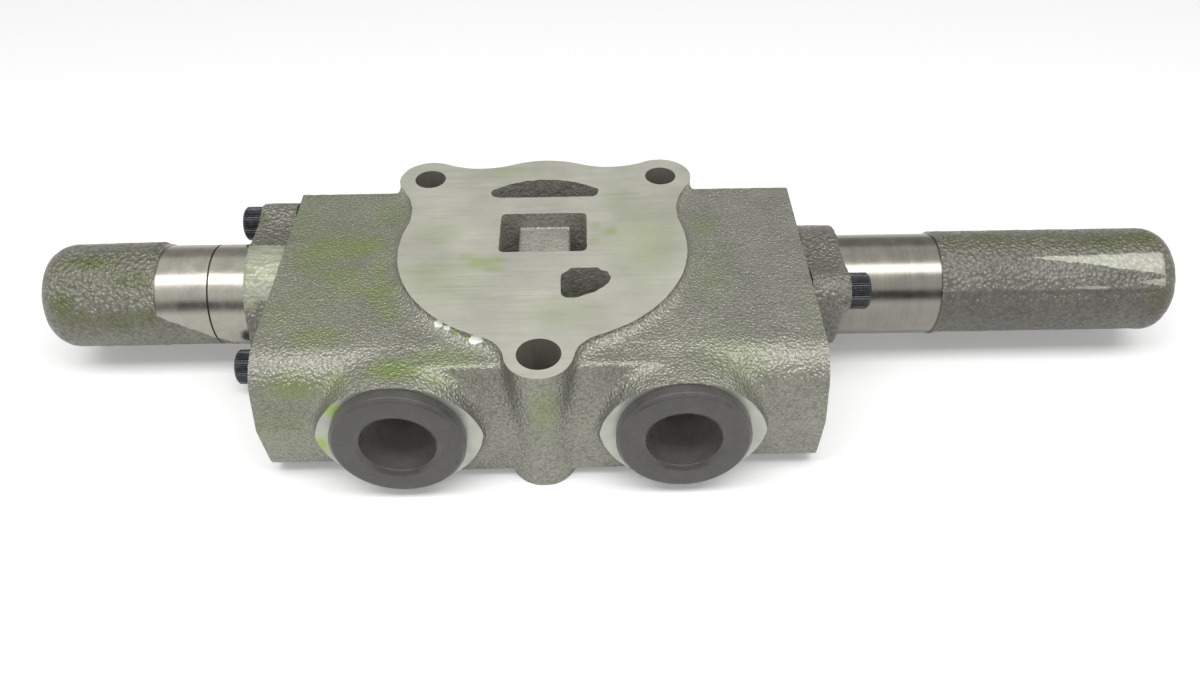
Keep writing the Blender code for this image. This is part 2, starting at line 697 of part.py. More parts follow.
def make_valve_body(datum, cap_ends, cast_iron):
    """The casting, its ground pads, the machined port faces and every gallery inside."""
    body = plate("valve_body", casting_profile(), -HALF_LENGTH, HALF_LENGTH, datum, ALONG_X, PARTS)
    wall = FRONT_WALL_HALF_WIDTH
    join(body, plate("front_wall", front_wall_profile(), -wall, wall, datum, ALONG_X))
    join(body, plate("stack_pads", pad_outline(), -HALF_THICKNESS, HALF_THICKNESS, datum))
    for side in (-1, 1):
        port = empty(port_name(side) + "_axis", datum, (side * PORT_PITCH / 2, 0, 0), OUTWARD)
        root = PORT_FACE - PORT_BOSS_DEPTH
        boss = loft(
            port_name(side) + "_boss",
            port_face_outline(PORT_BOSS_DRAFT),
            port_face_outline(0.0),
            root,
            PORT_FACE,
            port,
        )
        join(body, boss)
    reach = HALF_THICKNESS + THROUGH
    crescent = plate("return_gallery", crescent_outline(), -reach, reach, datum)
    inlet = plate("inlet_gallery", inlet_outline(), -reach, reach, datum)
    window = plate("window", window_outline(WINDOW_HALF_WIDTH), 0, reach, datum)
    cut(window, saddle_block(datum))
    outlet = plate("outlet_window", window_outline(CENTRE_CORE_END), -reach, 0, datum)
    bore = turned("spool_bore", spool_bore_profile(), datum, steps=ROUND)
    bore.rotation_euler = ACROSS
    cut(body, bore, crescent, inlet, window, outlet)
    for side in (-1, 1):
        port = bpy.data.objects[port_name(side) + "_axis"]
        cut(body, turned(port_name(side) + "_cavity", port_cavity_profile(), port))
        tie = (side * TIE_PITCH / 2, REAR_TIE_Y, 0)
        cut(body, rod(f"rear_tie_{side}", REAR_TIE_DIA, -reach, reach, datum, tie))
    nose = (0, FRONT_TIE_Y, 0)
    cut(body, rod("front_tie", FRONT_TIE_DIA, -reach, reach, datum, nose))
    cut(body, *load_check_ways(datum), *spool_ways(datum))
    for end in cap_ends:
        for number, (x, y) in enumerate(screw_places()):
            floor = HALF_LENGTH - SCREW_REACH - SCREW_DRILL_REACH
            top = HALF_LENGTH + THROUGH
            name = f"{end.name}_tapped_hole_{number}"
            cut(body, rod(name, SCREW_DIA + 2 * GAP, floor, top, end, (x, y, 0), sides=DRILLED_ROUND))
    return finish(body, cast_iron)


def saddle_block(datum):
    """What stays under the window: the web over the spool's middle land."""
    half = SADDLE_HALF_WIDTH
    corner = SADDLE_CORNER
    outline = [(-half, -THROUGH), (half, -THROUGH)]
    outline += arc((half - corner, SADDLE_TOP - corner), corner, 0, 90, 3)
    outline += arc((corner - half, SADDLE_TOP - corner), corner, 90, 180, 3)
    low = -WINDOW_BACK_Y - THROUGH
    high = THROUGH - WINDOW_FRONT_Y
    across = Matrix(((1, 0, 0, 0), (0, 0, -1, 0), (0, 1, 0, 0), (0, 0, 0, 1)))
    return plate("saddle", outline, low, high, datum, across)


def load_check_ways(datum):
    """The load check's cavity, its feed from the inlet gallery and its outlet."""
    feed_z = (CHECK_INLET_TOP - CHECK_INLET_CONE + CHECK_INLET_FOOT) / 2
    inlet_x = INLET_LEFT_X + INLET_WIDTH / 2
    check = (CHECK_X, CHECK_Y, 0)
    start = (0, CHECK_Y, feed_z)
    outlet = (CHECK_X, CHECK_Y, BRIDGE_Z)
    link = CHECK_Y - BRIDGE_Y
    sides = DRILLED_ROUND
    return [
        turned("check_cavity", check_cavity_profile(), datum, steps=SMALL_ROUND, location=check),
        rod("check_feed", CHECK_FEED_DIA, CHECK_X, inlet_x, datum, start, ACROSS, sides),
        rod("check_outlet", BRIDGE_ARM_DIA, 0, link, datum, outlet, OUTWARD, sides),
    ]


def spool_ways(datum):
    """The bridge that feeds both pressure cores, and the channel between the tank cores."""
    tank = (TANK_CORE_START + TANK_CORE_END) / 2
    arm_x = (PRESSURE_CORE_START + PRESSURE_CORE_END) / 2
    arm = -BRIDGE_Y - (BORE_DIA + CORE_DEPTH) / 2
    back = (0, TANK_CHANNEL_Y, 0)
    front = (0, BRIDGE_Y, BRIDGE_Z)
    sides = DRILLED_ROUND
    made = [
        rod("tank_channel", TANK_CHANNEL_DIA, -tank, tank, datum, back, ACROSS, SMALL_ROUND),
        rod("bridge", BRIDGE_DIA, -arm_x, arm_x, datum, front, ACROSS, sides),
    ]
    for side in (-1, 1):
        place = (side * arm_x, BRIDGE_Y, BRIDGE_Z)
        made.append(rod(f"bridge_arm_{side}", BRIDGE_ARM_DIA, -arm, 0, datum, place, OUTWARD, sides))
    return made


def port_name(side):
    return "left_port" if side < 0 else "right_port"


def screw_places():
    """The two cap screws' places across a cap's own Z."""
    half = CAP_SCREW_CIRCLE / 2
    turn = radians(CAP_SCREW_ANGLE)
    x = -half * sin(turn)
    y = -half * cos(turn)
    return [(x, y), (-x, -y)]


# The spool and what rides on it

def spool_profile():
    land = SPOOL_DIA / 2
    neck = SPOOL_NECK_DIA / 2
    end = SPOOL_HALF_LENGTH
    thread = SPOOL_THREAD_DIA / 2
    right = [
        (end - SPOOL_THREAD_DEPTH, 0.0),
        (end - SPOOL_THREAD_DEPTH + thread / 2, thread),
        (end, thread),
        (end, land - SPOOL_CHAMFER),
        (end - SPOOL_CHAMFER, land),
    ]
    for inner, outer in (TANK_NECK, PRESSURE_NECK, CENTRE_NECK):
        right += [(outer, land), (outer, neck), (inner, neck), (inner, land)]
    return right + [(-x, r) for x, r in reversed(right)]


def make_spool(datum, short_end, long_end, steel):
    """The spool, with metering notches in the edges that open the work ports."""
    spool = turned("spool", spool_profile(), datum, PARTS, ROUND)
    spool.rotation_euler = ACROSS
    notches = {
        "pressure": (PRESSURE_NECK[1] - THROUGH, PRESSURE_NECK[1] + NOTCH_LENGTH),
        "tank": (TANK_NECK[0] - NOTCH_LENGTH, TANK_NECK[0] + THROUGH),
    }
    for edge, (low, high) in notches.items():
        for end in (short_end, long_end):
            for number in range(NOTCHES):
                angle = 2 * pi * (number + 0.5) / NOTCHES
                place = (SPOOL_DIA / 2 * cos(angle), SPOOL_DIA / 2 * sin(angle), 0)
                name = f"{edge}_notch_{end.name}_{number}"
                cut(spool, rod(name, NOTCH_DIA, low, high, end, place, sides=6))
    return finish(spool, steel)


def make_seat(name, end, steel):
    """A spring seat on the spool's end, with a lip that centres the spring."""
    low = SPOOL_HALF_LENGTH + GAP
    lip = SEAT_TOP + SEAT_LIP_HEIGHT
    hole = SEAT_SCREW_DIA / 2 + GAP
    profile = [
        (lip, hole),
        (lip, SEAT_LIP_DIA / 2 - EDGE_BREAK),
        (lip - EDGE_BREAK, SEAT_LIP_DIA / 2),
        (SEAT_TOP, SEAT_LIP_DIA / 2),
        (SEAT_TOP, SEAT_DIA / 2 - EDGE_BREAK),
        (SEAT_TOP - EDGE_BREAK, SEAT_DIA / 2),
        (low, SEAT_DIA / 2),
        (low, hole),
    ]
    return finish(turned(name, profile, end, PARTS, ROUND), steel)


def seat_screw_profile(tip):
    """A screw's profile from its tip outboard of the head down to the end of its thread."""
    radius = SEAT_SCREW_HEAD_DIA / 2
    shank = SEAT_SCREW_DIA / 2
    foot = SPOOL_HALF_LENGTH - SPOOL_THREAD_DEPTH + SEAT_SCREW_DIA / 2
    return tip + [
        (SEAT_SCREW_TOP, radius - EDGE_BREAK),
        (SEAT_SCREW_TOP - EDGE_BREAK, radius),
        (SEAT_SCREW_UNDER, radius),
        (SEAT_SCREW_UNDER, shank),
        (foot + EDGE_BREAK, shank),
        (foot, shank - EDGE_BREAK),
        (foot, 0.0),
    ]


def make_seat_screw(end, steel):
    profile = seat_screw_profile([(SEAT_SCREW_TOP, 0.0)])
    screw = turned("short_side_seat_screw", profile, end, PARTS, SMALL_ROUND)
    low = SEAT_SCREW_TOP - SEAT_SCREW_KEY_DEPTH
    across = SEAT_SCREW_KEY / cos(pi / 6)
    cut(screw, rod("seat_screw_key", across, low, SEAT_SCREW_TOP + THROUGH, end, sides=6))
    return finish(screw, steel)


def make_guide_rod(end, steel):
    """The long side's seat screw, drawn out into a rod that keeps the long spring straight."""
    radius = GUIDE_ROD_DIA / 2
    tip = [
        (GUIDE_ROD_END, 0.0),
        (GUIDE_ROD_END, radius - GUIDE_ROD_CHAMFER),
        (GUIDE_ROD_END - GUIDE_ROD_CHAMFER, radius),
        (SEAT_SCREW_TOP, radius),
    ]
    guide = turned("long_side_guide_rod", seat_screw_profile(tip), end, PARTS, SMALL_ROUND)
    return finish(guide, steel)


# The spring caps

def make_cap(name, end, cap_end, turned_end, gauge_line, cast_iron):
    """A cap with a turned barrel, a cast nose and two ears for its screws."""
    barrel = CAP_BARREL_DIA / 2
    cast = CAP_CAST_DIA / 2
    hub = CAP_HUB_DIA / 2
    cavity = CAP_CAVITY_DIA / 2
    pilot = PILOT_PORT_DIA / 2
    groove = CAP_FACE + SEAL_SECTION - GAP
    corner = arc((cap_end - CAP_END_RADIUS, cast - CAP_END_RADIUS), CAP_END_RADIUS, 0, 90, 4)
    profile = [(cap_end, pilot + PILOT_CHAMFER)] + corner
    profile += [(turned_end, cast), (turned_end - CAST_STEP, barrel)]
    if gauge_line:
        line = GAUGE_LINE_AT + GAUGE_LINE_WIDTH / 2
        floor = barrel - GAUGE_LINE_DEPTH
        profile += [(line, barrel), (line, floor)]
        profile += [(line - GAUGE_LINE_WIDTH, floor), (line - GAUGE_LINE_WIDTH, barrel)]
    profile += [
        (CAP_HUB_END, barrel),
        (CAP_HUB_END, hub - CAP_HUB_CHAMFER),
        (CAP_HUB_END - CAP_HUB_CHAMFER, hub),
        (CAP_FACE, hub),
        (CAP_FACE, SEAL_GROOVE_OUTER),
        (groove, SEAL_GROOVE_OUTER),
        (groove, SEAL_GROOVE_INNER),
        (CAP_FACE, SEAL_GROOVE_INNER),
        (CAP_FACE, cavity),
        (cap_end - CAP_END_WALL, cavity),
        (cap_end - CAP_END_WALL, pilot),
        (cap_end - PILOT_CHAMFER, pilot),
    ]
    cap = turned(name, profile, end, PARTS)
    ears = plate(name + "_ears", ear_outline(), CAP_FACE, CAP_EAR_FACE, end)
    middle = hub + SEAL_GROOVE_OUTER
    cut(ears, rod(name + "_ear_middle", middle, CAP_FACE - THROUGH, CAP_EAR_FACE + THROUGH, end))
    join(cap, ears)
    for number, (x, y) in enumerate(screw_places()):
        hole = SCREW_DIA + SCREW_CLEARANCE
        place = (x, y, 0)
        low = CAP_FACE - THROUGH
        high = CAP_EAR_FACE + THROUGH
        cut(cap, rod(f"{name}_hole_{number}", hole, low, high, end, place, sides=DRILLED_ROUND))
        high = CAP_HUB_END + THROUGH
        cut(cap, rod(f"{name}_spotface_{number}", SPOTFACE_DIA, SCREW_SEAT, high, end, place))
    return finish(cap, cast_iron)


def make_cap_seal(name, end, rubber):
    """The ring seal between a cap and the body's end face."""
    radius = (SEAL_SECTION - GAP) / 2
    centre = CAP_FACE - GAP / 2 + radius
    profile = [(centre + y, SEAL_DIA / 2 + x) for x, y in arc((0, 0), radius, 90, -210, 5)]
    return finish(turned(name, profile, end, PARTS, ROUND), rubber)


def make_cap_screws(end, side, steel):
    """Two socket head screws, which pass through a cap's ears into the body."""
    under = SCREW_SEAT + GAP
    top = under + SCREW_HEAD_HEIGHT
    head = SCREW_HEAD_DIA / 2
    shank = SCREW_DIA / 2
    foot = HALF_LENGTH - SCREW_REACH
    profile = [
        (top, 0.0),
        (top, head - SCREW_HEAD_CHAMFER),
        (top - SCREW_HEAD_CHAMFER, head),
        (under, head),
        (under, shank),
        (foot + SCREW_HEAD_CHAMFER, shank),
        (foot, shank - SCREW_HEAD_CHAMFER),
        (foot, 0.0),
    ]
    for number, (x, y) in enumerate(screw_places()):
        level = "upper" if number == 0 else "lower"
        place = (x, y, 0)
        screw = turned(f"{side}_cap_{level}_screw", profile, end, PARTS, SMALL_ROUND, place)
        across = SCREW_KEY / cos(pi / 6)
        low = top - SCREW_KEY_DEPTH
        name = f"{side}_{level}_key"
        cut(screw, rod(name, across, low, top + THROUGH, end, place, sides=6))
        finish(screw, steel)


def make_spring(name, end, cap_end, coils, steel):
    high = cap_end - CAP_END_WALL - GAP
    return finish_curve(coil(name, SPRING_DIA, SPRING_WIRE, SEAT_TOP + GAP, high, coils, end), steel)


# The load check

def make_load_check(datum, steel, spring_steel, rubber):
    axis = empty("load_check_axis", datum, (CHECK_X, CHECK_Y, 0))
    nose = POPPET_NOSE_DIA / 2
    head = POPPET_DIA / 2
    stem = POPPET_STEM_DIA / 2
    seat = CHECK_SEAT_DIA / 2
    cone_at_seat = CHECK_SEAT_Z - GAP * sqrt(2)
    tip = cone_at_seat + (seat - nose)
    shoulder = cone_at_seat - (head - seat)
    flat = shoulder - POPPET_HEAD
    foot = CHECK_PLUG_RECESS - HALF_THICKNESS
    guide_floor = foot + CHECK_KEY_DEPTH + CHECK_GUIDE_WALL
    stem_end = guide_floor + CHECK_LIFT + 2 * GAP
    poppet = [
        (tip, 0.0),
        (tip, nose),
        (shoulder, head),
        (flat, head),
        (flat, stem),
        (stem_end + EDGE_BREAK, stem),
        (stem_end, stem - EDGE_BREAK),
        (stem_end, 0.0),
    ]
    finish(turned("load_check_poppet", poppet, axis, PARTS, SMALL_ROUND), steel)
    top = CHECK_PLUG_TOP
    radius = CHECK_PLUG_BORE_DIA / 2 - GAP
    guide = stem + GAP
    groove_top = top - CHECK_SEAL_DROP
    groove_foot = groove_top - CHECK_SEAL_SECTION - 2 * GAP
    groove = radius - CHECK_SEAL_SECTION - GAP
    plug = [
        (guide_floor, 0.0),
        (guide_floor, guide),
        (top, guide),
        (top, radius - EDGE_BREAK),
        (top - EDGE_BREAK, radius),
        (groove_top, radius),
        (groove_top, groove),
        (groove_foot, groove),
        (groove_foot, radius),
        (foot + EDGE_BREAK, radius),
        (foot, radius - EDGE_BREAK),
        (foot, 0.0),
    ]
    made = turned("load_check_plug", plug, axis, PARTS, SMALL_ROUND)
    across = CHECK_KEY / cos(pi / 6)
    cut(made, rod("check_key", across, foot - THROUGH, foot + CHECK_KEY_DEPTH, axis, sides=6))
    finish(made, steel)
    middle = (groove_top + groove_foot) / 2
    ring = CHECK_SEAL_SECTION / 2
    reach = groove + GAP + ring
    seal = [(middle + y, reach + x) for x, y in arc((0, 0), ring, 90, -210, 5)]
    finish(turned("load_check_seal", seal, axis, PARTS, SMALL_ROUND), rubber)
    low = top + GAP
    high = flat - GAP
    spring = coil("load_check_spring", CHECK_SPRING_DIA, CHECK_WIRE, low, high, CHECK_COILS, axis)
    finish_curve(spring, spring_steel)


# The shipping plugs

def make_port_plug(side, plastic):
    """A moulded cup that closes a work port until a hose is fitted."""
    port = bpy.data.objects[port_name(side) + "_axis"]
    back = PORT_FACE + GAP
    top = back + PLUG_FLANGE_THICKNESS
    flange = PLUG_FLANGE_DIA / 2
    wall = PORT_BORE_DIA / 2 - GAP
    foot = PORT_FACE - PORT_BORE_DEPTH + 2 * GAP
    cup = PLUG_CUP_DIA / 2
    step = PLUG_STEP_DIA / 2
    ledge = top - PLUG_STEP_DEPTH
    profile = [
        (foot + PLUG_FLOOR, 0.0),
        (foot + PLUG_FLOOR, step - PLUG_TAPER),
        (ledge, step),
        (ledge, cup - PLUG_TAPER / 2),
        (top - PLUG_TAPER, cup),
        (top, cup + PLUG_TAPER),
        (top, flange - PLUG_FLANGE_CHAMFER),
        (top - PLUG_FLANGE_CHAMFER, flange),
        (back, flange),
        (back, wall),
        (foot + PLUG_FOOT_CHAMFER, wall - PLUG_TAPER),
        (foot, wall - PLUG_TAPER - PLUG_FOOT_CHAMFER),
        (foot, 0.0),
    ]
    return finish(turned(port_name(side) + "_plug", profile, port, PARTS), plastic)


def main():
    for obj in list(bpy.data.objects):
        bpy.data.objects.remove(obj, do_unlink=True)
    bpy.context.scene.collection.children.link(PARTS)
    bpy.context.scene.collection.children.link(CUTTERS)

    cast_iron = material("cast_iron", (0.21, 0.21, 0.17), 0.55, 0.6)
    cap_iron = material("cap_cast_iron", (0.15, 0.15, 0.12), 0.5, 0.6)
    ground_steel = material("ground_steel", (0.55, 0.55, 0.54), 0.25, 1.0)
    black_steel = material("black_oxide_steel", (0.03, 0.035, 0.04), 0.35, 0.8)
    spring_steel = material("spring_steel", (0.2, 0.2, 0.2), 0.35, 1.0)
    rubber = material("seal_rubber", (0.02, 0.02, 0.02), 0.6, 0.0)
    plastic = material("plug_plastic", (0.06, 0.06, 0.065), 0.5, 0.0)

    datum = empty("spool_axis", None, (0, -TIE_TO_SPOOL, HALF_THICKNESS))
    long_end = empty("long_end", datum, rotation=ACROSS)
    short_end = empty("short_end", datum, rotation=ACROSS_LEFT)

    make_valve_body(datum, (long_end, short_end), cast_iron)
    make_spool(datum, short_end, long_end, ground_steel)
    make_cap("short_cap", short_end, SHORT_CAP_END, SHORT_CAP_TURNED_END, True, cap_iron)
    make_cap("long_cap", long_end, LONG_CAP_END, LONG_CAP_TURNED_END, False, cap_iron)
    make_seat("short_side_spring_seat", short_end, ground_steel)
    make_seat("long_side_spring_seat", long_end, ground_steel)
    make_seat_screw(short_end, black_steel)
    make_guide_rod(long_end, ground_steel)
    make_spring("short_side_spring", short_end, SHORT_CAP_END, SHORT_SPRING_COILS, spring_steel)
    make_spring("long_side_spring", long_end, LONG_CAP_END, LONG_SPRING_COILS, spring_steel)
    make_cap_seal("short_cap_seal", short_end, rubber)
    make_cap_seal("long_cap_seal", long_end, rubber)
    make_cap_screws(short_end, "short", black_steel)
    make_cap_screws(long_end, "long", black_steel)
    make_load_check(datum, ground_steel, spring_steel, rubber)
    for side in (-1, 1):
        make_port_plug(side, plastic)


main()
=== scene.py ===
"""Dresses the frame of a stacked directional valve section as the real one looks.

The casting, caps, screws, spool, springs, load check and shipping plugs are each made
over their solid in the frame. Sizes are in millimetres round the spool's axis, with +X
towards the long cap, -Y out of the work ports and +Z up through the stack. Each piece
is turned into the frame's metres when it is done.
"""

from math import atan2, cos, degrees, hypot, pi, radians, sin, sqrt, tan

import bmesh
import bpy
from mathutils import Matrix, Vector


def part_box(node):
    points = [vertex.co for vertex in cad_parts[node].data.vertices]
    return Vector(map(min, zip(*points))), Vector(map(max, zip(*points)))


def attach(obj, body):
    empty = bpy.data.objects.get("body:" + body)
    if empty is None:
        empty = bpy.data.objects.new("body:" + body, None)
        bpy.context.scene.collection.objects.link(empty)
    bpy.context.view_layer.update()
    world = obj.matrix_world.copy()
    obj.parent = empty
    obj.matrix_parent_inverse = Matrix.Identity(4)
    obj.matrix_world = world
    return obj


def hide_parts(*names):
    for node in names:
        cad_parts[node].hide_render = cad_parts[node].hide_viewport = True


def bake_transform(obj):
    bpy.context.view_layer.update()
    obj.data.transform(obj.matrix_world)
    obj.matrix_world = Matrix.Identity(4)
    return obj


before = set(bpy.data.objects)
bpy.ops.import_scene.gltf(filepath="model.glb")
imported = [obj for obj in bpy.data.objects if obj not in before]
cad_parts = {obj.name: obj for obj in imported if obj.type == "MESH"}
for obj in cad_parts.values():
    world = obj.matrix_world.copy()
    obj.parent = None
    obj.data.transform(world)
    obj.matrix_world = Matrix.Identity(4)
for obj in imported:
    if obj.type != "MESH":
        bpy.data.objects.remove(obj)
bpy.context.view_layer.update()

bl_info = {
    "name": "Directional valve section",
    "version": (1, 0, 0),
    "blender": (4, 5, 0),
    "location": "3D View > Sidebar > Valve section",
    "description": "Dresses a directional valve section piece by piece",
    "category": "Object",
}

MM = 0.001
SPOOL_LOW, SPOOL_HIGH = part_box("spool")
AXIS_Y = (SPOOL_LOW.y + SPOOL_HIGH.y) / 2
AXIS_Z = (SPOOL_LOW.z + SPOOL_HIGH.z) / 2
TO_FRAME = Matrix.Translation((0, AXIS_Y, AXIS_Z)) @ Matrix.Scale(MM, 4)
OTHER_END = Matrix.Rotation(pi, 4, "Z")
ACROSS_X = Matrix(((0, 0, 1, 0), (1, 0, 0, 0), (0, 1, 0, 0), (0, 0, 0, 1)))
FACING_PORT = Matrix(((1, 0, 0, 0), (0, 0, -1, 0), (0, 1, 0, 0), (0, 0, 0, 1)))
ONTO_Z = Matrix(((0, 0, -1, 0), (0, 1, 0, 0), (1, 0, 0, 0), (0, 0, 0, 1)))
OUT_OF_PORT = Matrix(((0, 1, 0, 0), (-1, 0, 0, 0), (0, 0, 1, 0), (0, 0, 0, 1)))
PAST = 1.5  # how far a cutter runs past the face that it opens
CLEAR = 0.3  # between pieces that touch
SEAM = 0.0005  # points nearer than this are one
STOCK = 2.0  # metal on ends and port faces before they are machined
CHAMFER = 0.8
SHARP_EDGE = radians(38)  # a softer edge is shaded smooth

# Stack and pads
TIE_X = 41.275
REAR_TIE_Y = 34.1
FRONT_TIE_Y = -58.2
REAR_TIE_RADIUS = 5.45
FRONT_TIE_RADIUS = 6.7
HALF_THICKNESS = 23.8
SHOULDER = 21.2
REAR_LOBE_RADIUS = 10.9
FRONT_LOBE_RADIUS = 10.4
PAD_RADIUS = 47.7
PAD_CENTRE_Y = -6.0
BULGE_RADIUS = 31.0
BULGE_TOP_Y = 45.3
BULGE_FILLET = 28.0
WAIST_FILLET = 28.0
NECK_FILLET = 11.0

# Casting
HALF_LENGTH = 86.5
BODY_BACK = 31.0
BACK_DRAFT = 0.7
BACK_CORNER = 1.0
PORT_FACE = 68.0
FRONT_RIDGE = 65.2
UPPER_SHOULDER_BACK = 15.7
UPPER_SHOULDER_RADIUS = 13.0
LOWER_SHOULDER_BACK = 8.7
LOWER_SHOULDER_RADIUS = 6.0
FRONT_WALL_HALF_WIDTH = 36.0
FRONT_WALL_SLOPE = 5.2
FRONT_WALL_FOOT_SLOPE = 0.6
FRONT_WALL_HEIGHT = 20.8
PORT_X = 42.9
PORT_FACE_TIP = 25.4
PORT_FACE_HIGH = 20.9
PORT_FACE_LOW = 22.4
PORT_LEVEL = 21.0
PORT_DRAFT = 4.5 / 22.0
PORT_BOSS_ROOT = 42.0
PORT_RADIUS = 15.9
PORT_LEDGE = 49.0
PORT_CHAMFER = 1.3
PASSAGE_RADIUS = 12.0

# Galleries, the spool's bore and the load check's ways
BORE_RADIUS = 11.15
CORE_RADIUS = 14.0
TANK_CORE_RADIUS = 17.0
PORT_CORE = (35.9, 49.9)
PRESSURE_CORE = (22.9, 28.9)
TANK_CORE = (56.9, 64.9)
CENTRE_CORE_END = 5.5
WINDOW_HALF_WIDTH = 14.6
WINDOW_FRONT = -9.2
WINDOW_BACK = 12.1
SADDLE_HALF_WIDTH = 8.9
SADDLE_TOP = 17.6
CHECK_PLACE = (-12.5, -26.0, 0.0)
CHECK_SEAT = 5.0
CHECK_SEAT_RADIUS = 5.6
CHECK_CHAMBER_RADIUS = 6.5
CHECK_BORE_RADIUS = 8.2
CHECK_LEDGE = -10.7
CHECK_THREAD_RADIUS = 9.0
CHECK_SEAL_AT = -13.35
CHECK_SPRING_TOP = -0.324
BRIDGE_Y = -39.0
BRIDGE_Z = -2.0

# Caps and their screws
CAP_FACE = 86.8
CAP_HUB_END = 99.3
CAP_HUB_RADIUS = 20.9
CAP_CAST_RADIUS = 17.9
CAP_BARREL_RADIUS = 17.37
CAP_CAVITY_RADIUS = 13.2
CAP_EAR_RADIUS = 7.0
CAP_EAR_FILLET = 34.0
CAP_END_RADIUS = 8.0
CAP_END_WALL = 12.0
PILOT_RADIUS = 6.45
SHORT_CAP_END = 170.0
SHORT_CAP_TURNED_END = 130.6
LONG_CAP_END = 215.0
LONG_CAP_TURNED_END = 134.3
GAUGE_LINE_AT = 112.2
SCREW_PLACES = {"upper": (-21.22, 14.86), "lower": (21.22, -14.86)}
SCREW_HEAD_RADIUS = 5.95
SCREW_HEAD_TOP = 105.9
SCREW_SEAT = 97.7
SCREW_RADIUS = 3.6
SCREW_FOOT = 69.0
SCREW_KEY = 6.35
KNURL_DEPTH = 0.45
SPOTFACE_RADIUS = 6.3
CAP_SEAL_AT = 87.8
CAP_SEAL_RADIUS = 15.7
SCREW_HOLE_RADIUS = 4.2
TAPPED_RADIUS = 3.9
TAPPED_FOOT = 66.5

# Spool, seats and springs
SPOOL_RADIUS = 10.85
SPOOL_END = 95.0
NECK_RADIUS = 7.3
NECKS = ((54.9, 66.9), (18.9, 29.4), (3.5, 12.0))
SEAT_TOP = 98.3
SEAT_RADIUS = 12.4
SEAT_LIP_RADIUS = 8.4
SPOOL_THREAD_DEPTH = 16.0
SEAT_SCREW_UNDER = 100.8
SEAT_SCREW_TOP = 106.0
SEAT_SCREW_RADIUS = 3.5
SEAT_SCREW_HEAD_RADIUS = 6.0
GUIDE_ROD_END = 172.0
SPRING_RADIUS = 10.4
SPRING_WIRE = 2.8

# The stage's plain colours
WHITE = (1.0, 1.0, 1.0, 1.0)
BLACK = (0.0, 0.0, 0.0, 1.0)


# Shapes

def put(obj):
    """Shows an object in the scene."""
    bpy.context.scene.collection.objects.link(obj)
    return obj


def to_object(name, shape, turn=None):
    """Keeps a bmesh as an object's mesh, turned if it has to be."""
    if turn is not None:
        bmesh.ops.transform(shape, matrix=turn, verts=shape.verts)
    mesh = bpy.data.meshes.new(name)
    shape.to_mesh(mesh)
    shape.free()
    return put(bpy.data.objects.new(name, mesh))


def clean(shape):
    """Closes seams and poles and points the faces outwards."""
    bmesh.ops.remove_doubles(shape, verts=shape.verts, dist=SEAM)
    bmesh.ops.recalc_face_normals(shape, faces=shape.faces)


def settle(obj):
    """Applies a piece's modifiers."""
    bpy.context.view_layer.update()
    graph = bpy.context.evaluated_depsgraph_get()
    mesh = bpy.data.meshes.new_from_object(obj.evaluated_get(graph))
    drawn = obj.data
    obj.modifiers.clear()
    obj.data = mesh
    mesh.name = obj.name
    bpy.data.meshes.remove(drawn)
    return obj


def arc(centre, radius, start, end, steps):
    """Points on an arc, with its angles in degrees."""
    angles = [radians(start + (end - start) * i / steps) for i in range(steps + 1)]
    return [(centre[0] + radius * cos(a), centre[1] + radius * sin(a)) for a in angles]


def eased(points, radius, steps=3, closed=False):
    """An outline with its corners rounded, as far as their sides leave room."""
    count = len(points)
    turned = []
    for i, point in enumerate(points):
        here = Vector(point)
        if not closed and i in (0, count - 1):
            turned.append(point)
            continue
        before = Vector(points[i - 1]) - here
        after = Vector(points[(i + 1) % count]) - here
        half = before.angle(after) / 2
        reach = min(radius / tan(half), before.length * 0.45, after.length * 0.45)
        start = here + before.normalized() * reach
        end = here + after.normalized() * reach
        for k in range(steps + 1):
            t = k / steps
            turned.append(tuple(start * (1 - t) ** 2 + here * (2 * t * (1 - t)) + end * t * t))
    return turned


def revolve(shape, geom, steps, angle=2 * pi, rise=0.0):
    """Spins geometry round X. Without a rise, the full turn closes on itself."""
    made = bmesh.ops.spin(
        shape,
        geom=geom,
        cent=(0, 0, 0),
        axis=(1, 0, 0),
        dvec=(rise, 0, 0),
        angle=angle,
        steps=steps,
        use_merge=rise == 0.0,
        use_normal_flip=False,
        use_duplicate=False,
    )
    return made["geom_last"]


def spun(name, profile, steps=96, turn=None):
    """A turned solid round X, from (along, radius) points down its outside.

    A profile that doesn't start and end on the axis is closed into a ring.
    """
    shape = bmesh.new()
    verts = [shape.verts.new((along, 0.0, radius)) for along, radius in profile]
    edges = [shape.edges.new(pair) for pair in zip(verts, verts[1:])]
    if profile[0][1] > 0:
        edges.append(shape.edges.new((verts[-1], verts[0])))
    revolve(shape, verts + edges, steps)
    clean(shape)
    return to_object(name, shape, turn)


def slab(name, outline, low, high, turn=None):
    """A flat outline with a thickness along Z, turned if it has to be."""
    shape = bmesh.new()
    foot = shape.faces.new([shape.verts.new((x, y, low)) for x, y in outline])
    grown = bmesh.ops.extrude_face_region(shape, geom=[foot], use_keep_orig=True)
    raised = [v for v in grown["geom"] if isinstance(v, bmesh.types.BMVert)]
    bmesh.ops.translate(shape, verts=raised, vec=(0, 0, high - low))
    clean(shape)
    return to_object(name, shape, turn)


def bridged(name, first, last, low, high, turn=None):
    """A solid along Z between two outlines with as many points each."""
    shape = bmesh.new()
    rims = []
    for outline, height in ((first, low), (last, high)):
        verts = [shape.verts.new((x, y, height)) for x, y in outline]
        rims += [shape.edges.new(pair) for pair in zip(verts, verts[1:] + verts[:1])]
        shape.faces.new(verts)
    bmesh.ops.bridge_loops(shape, edges=rims)
    clean(shape)
    return to_object(name, shape, turn)


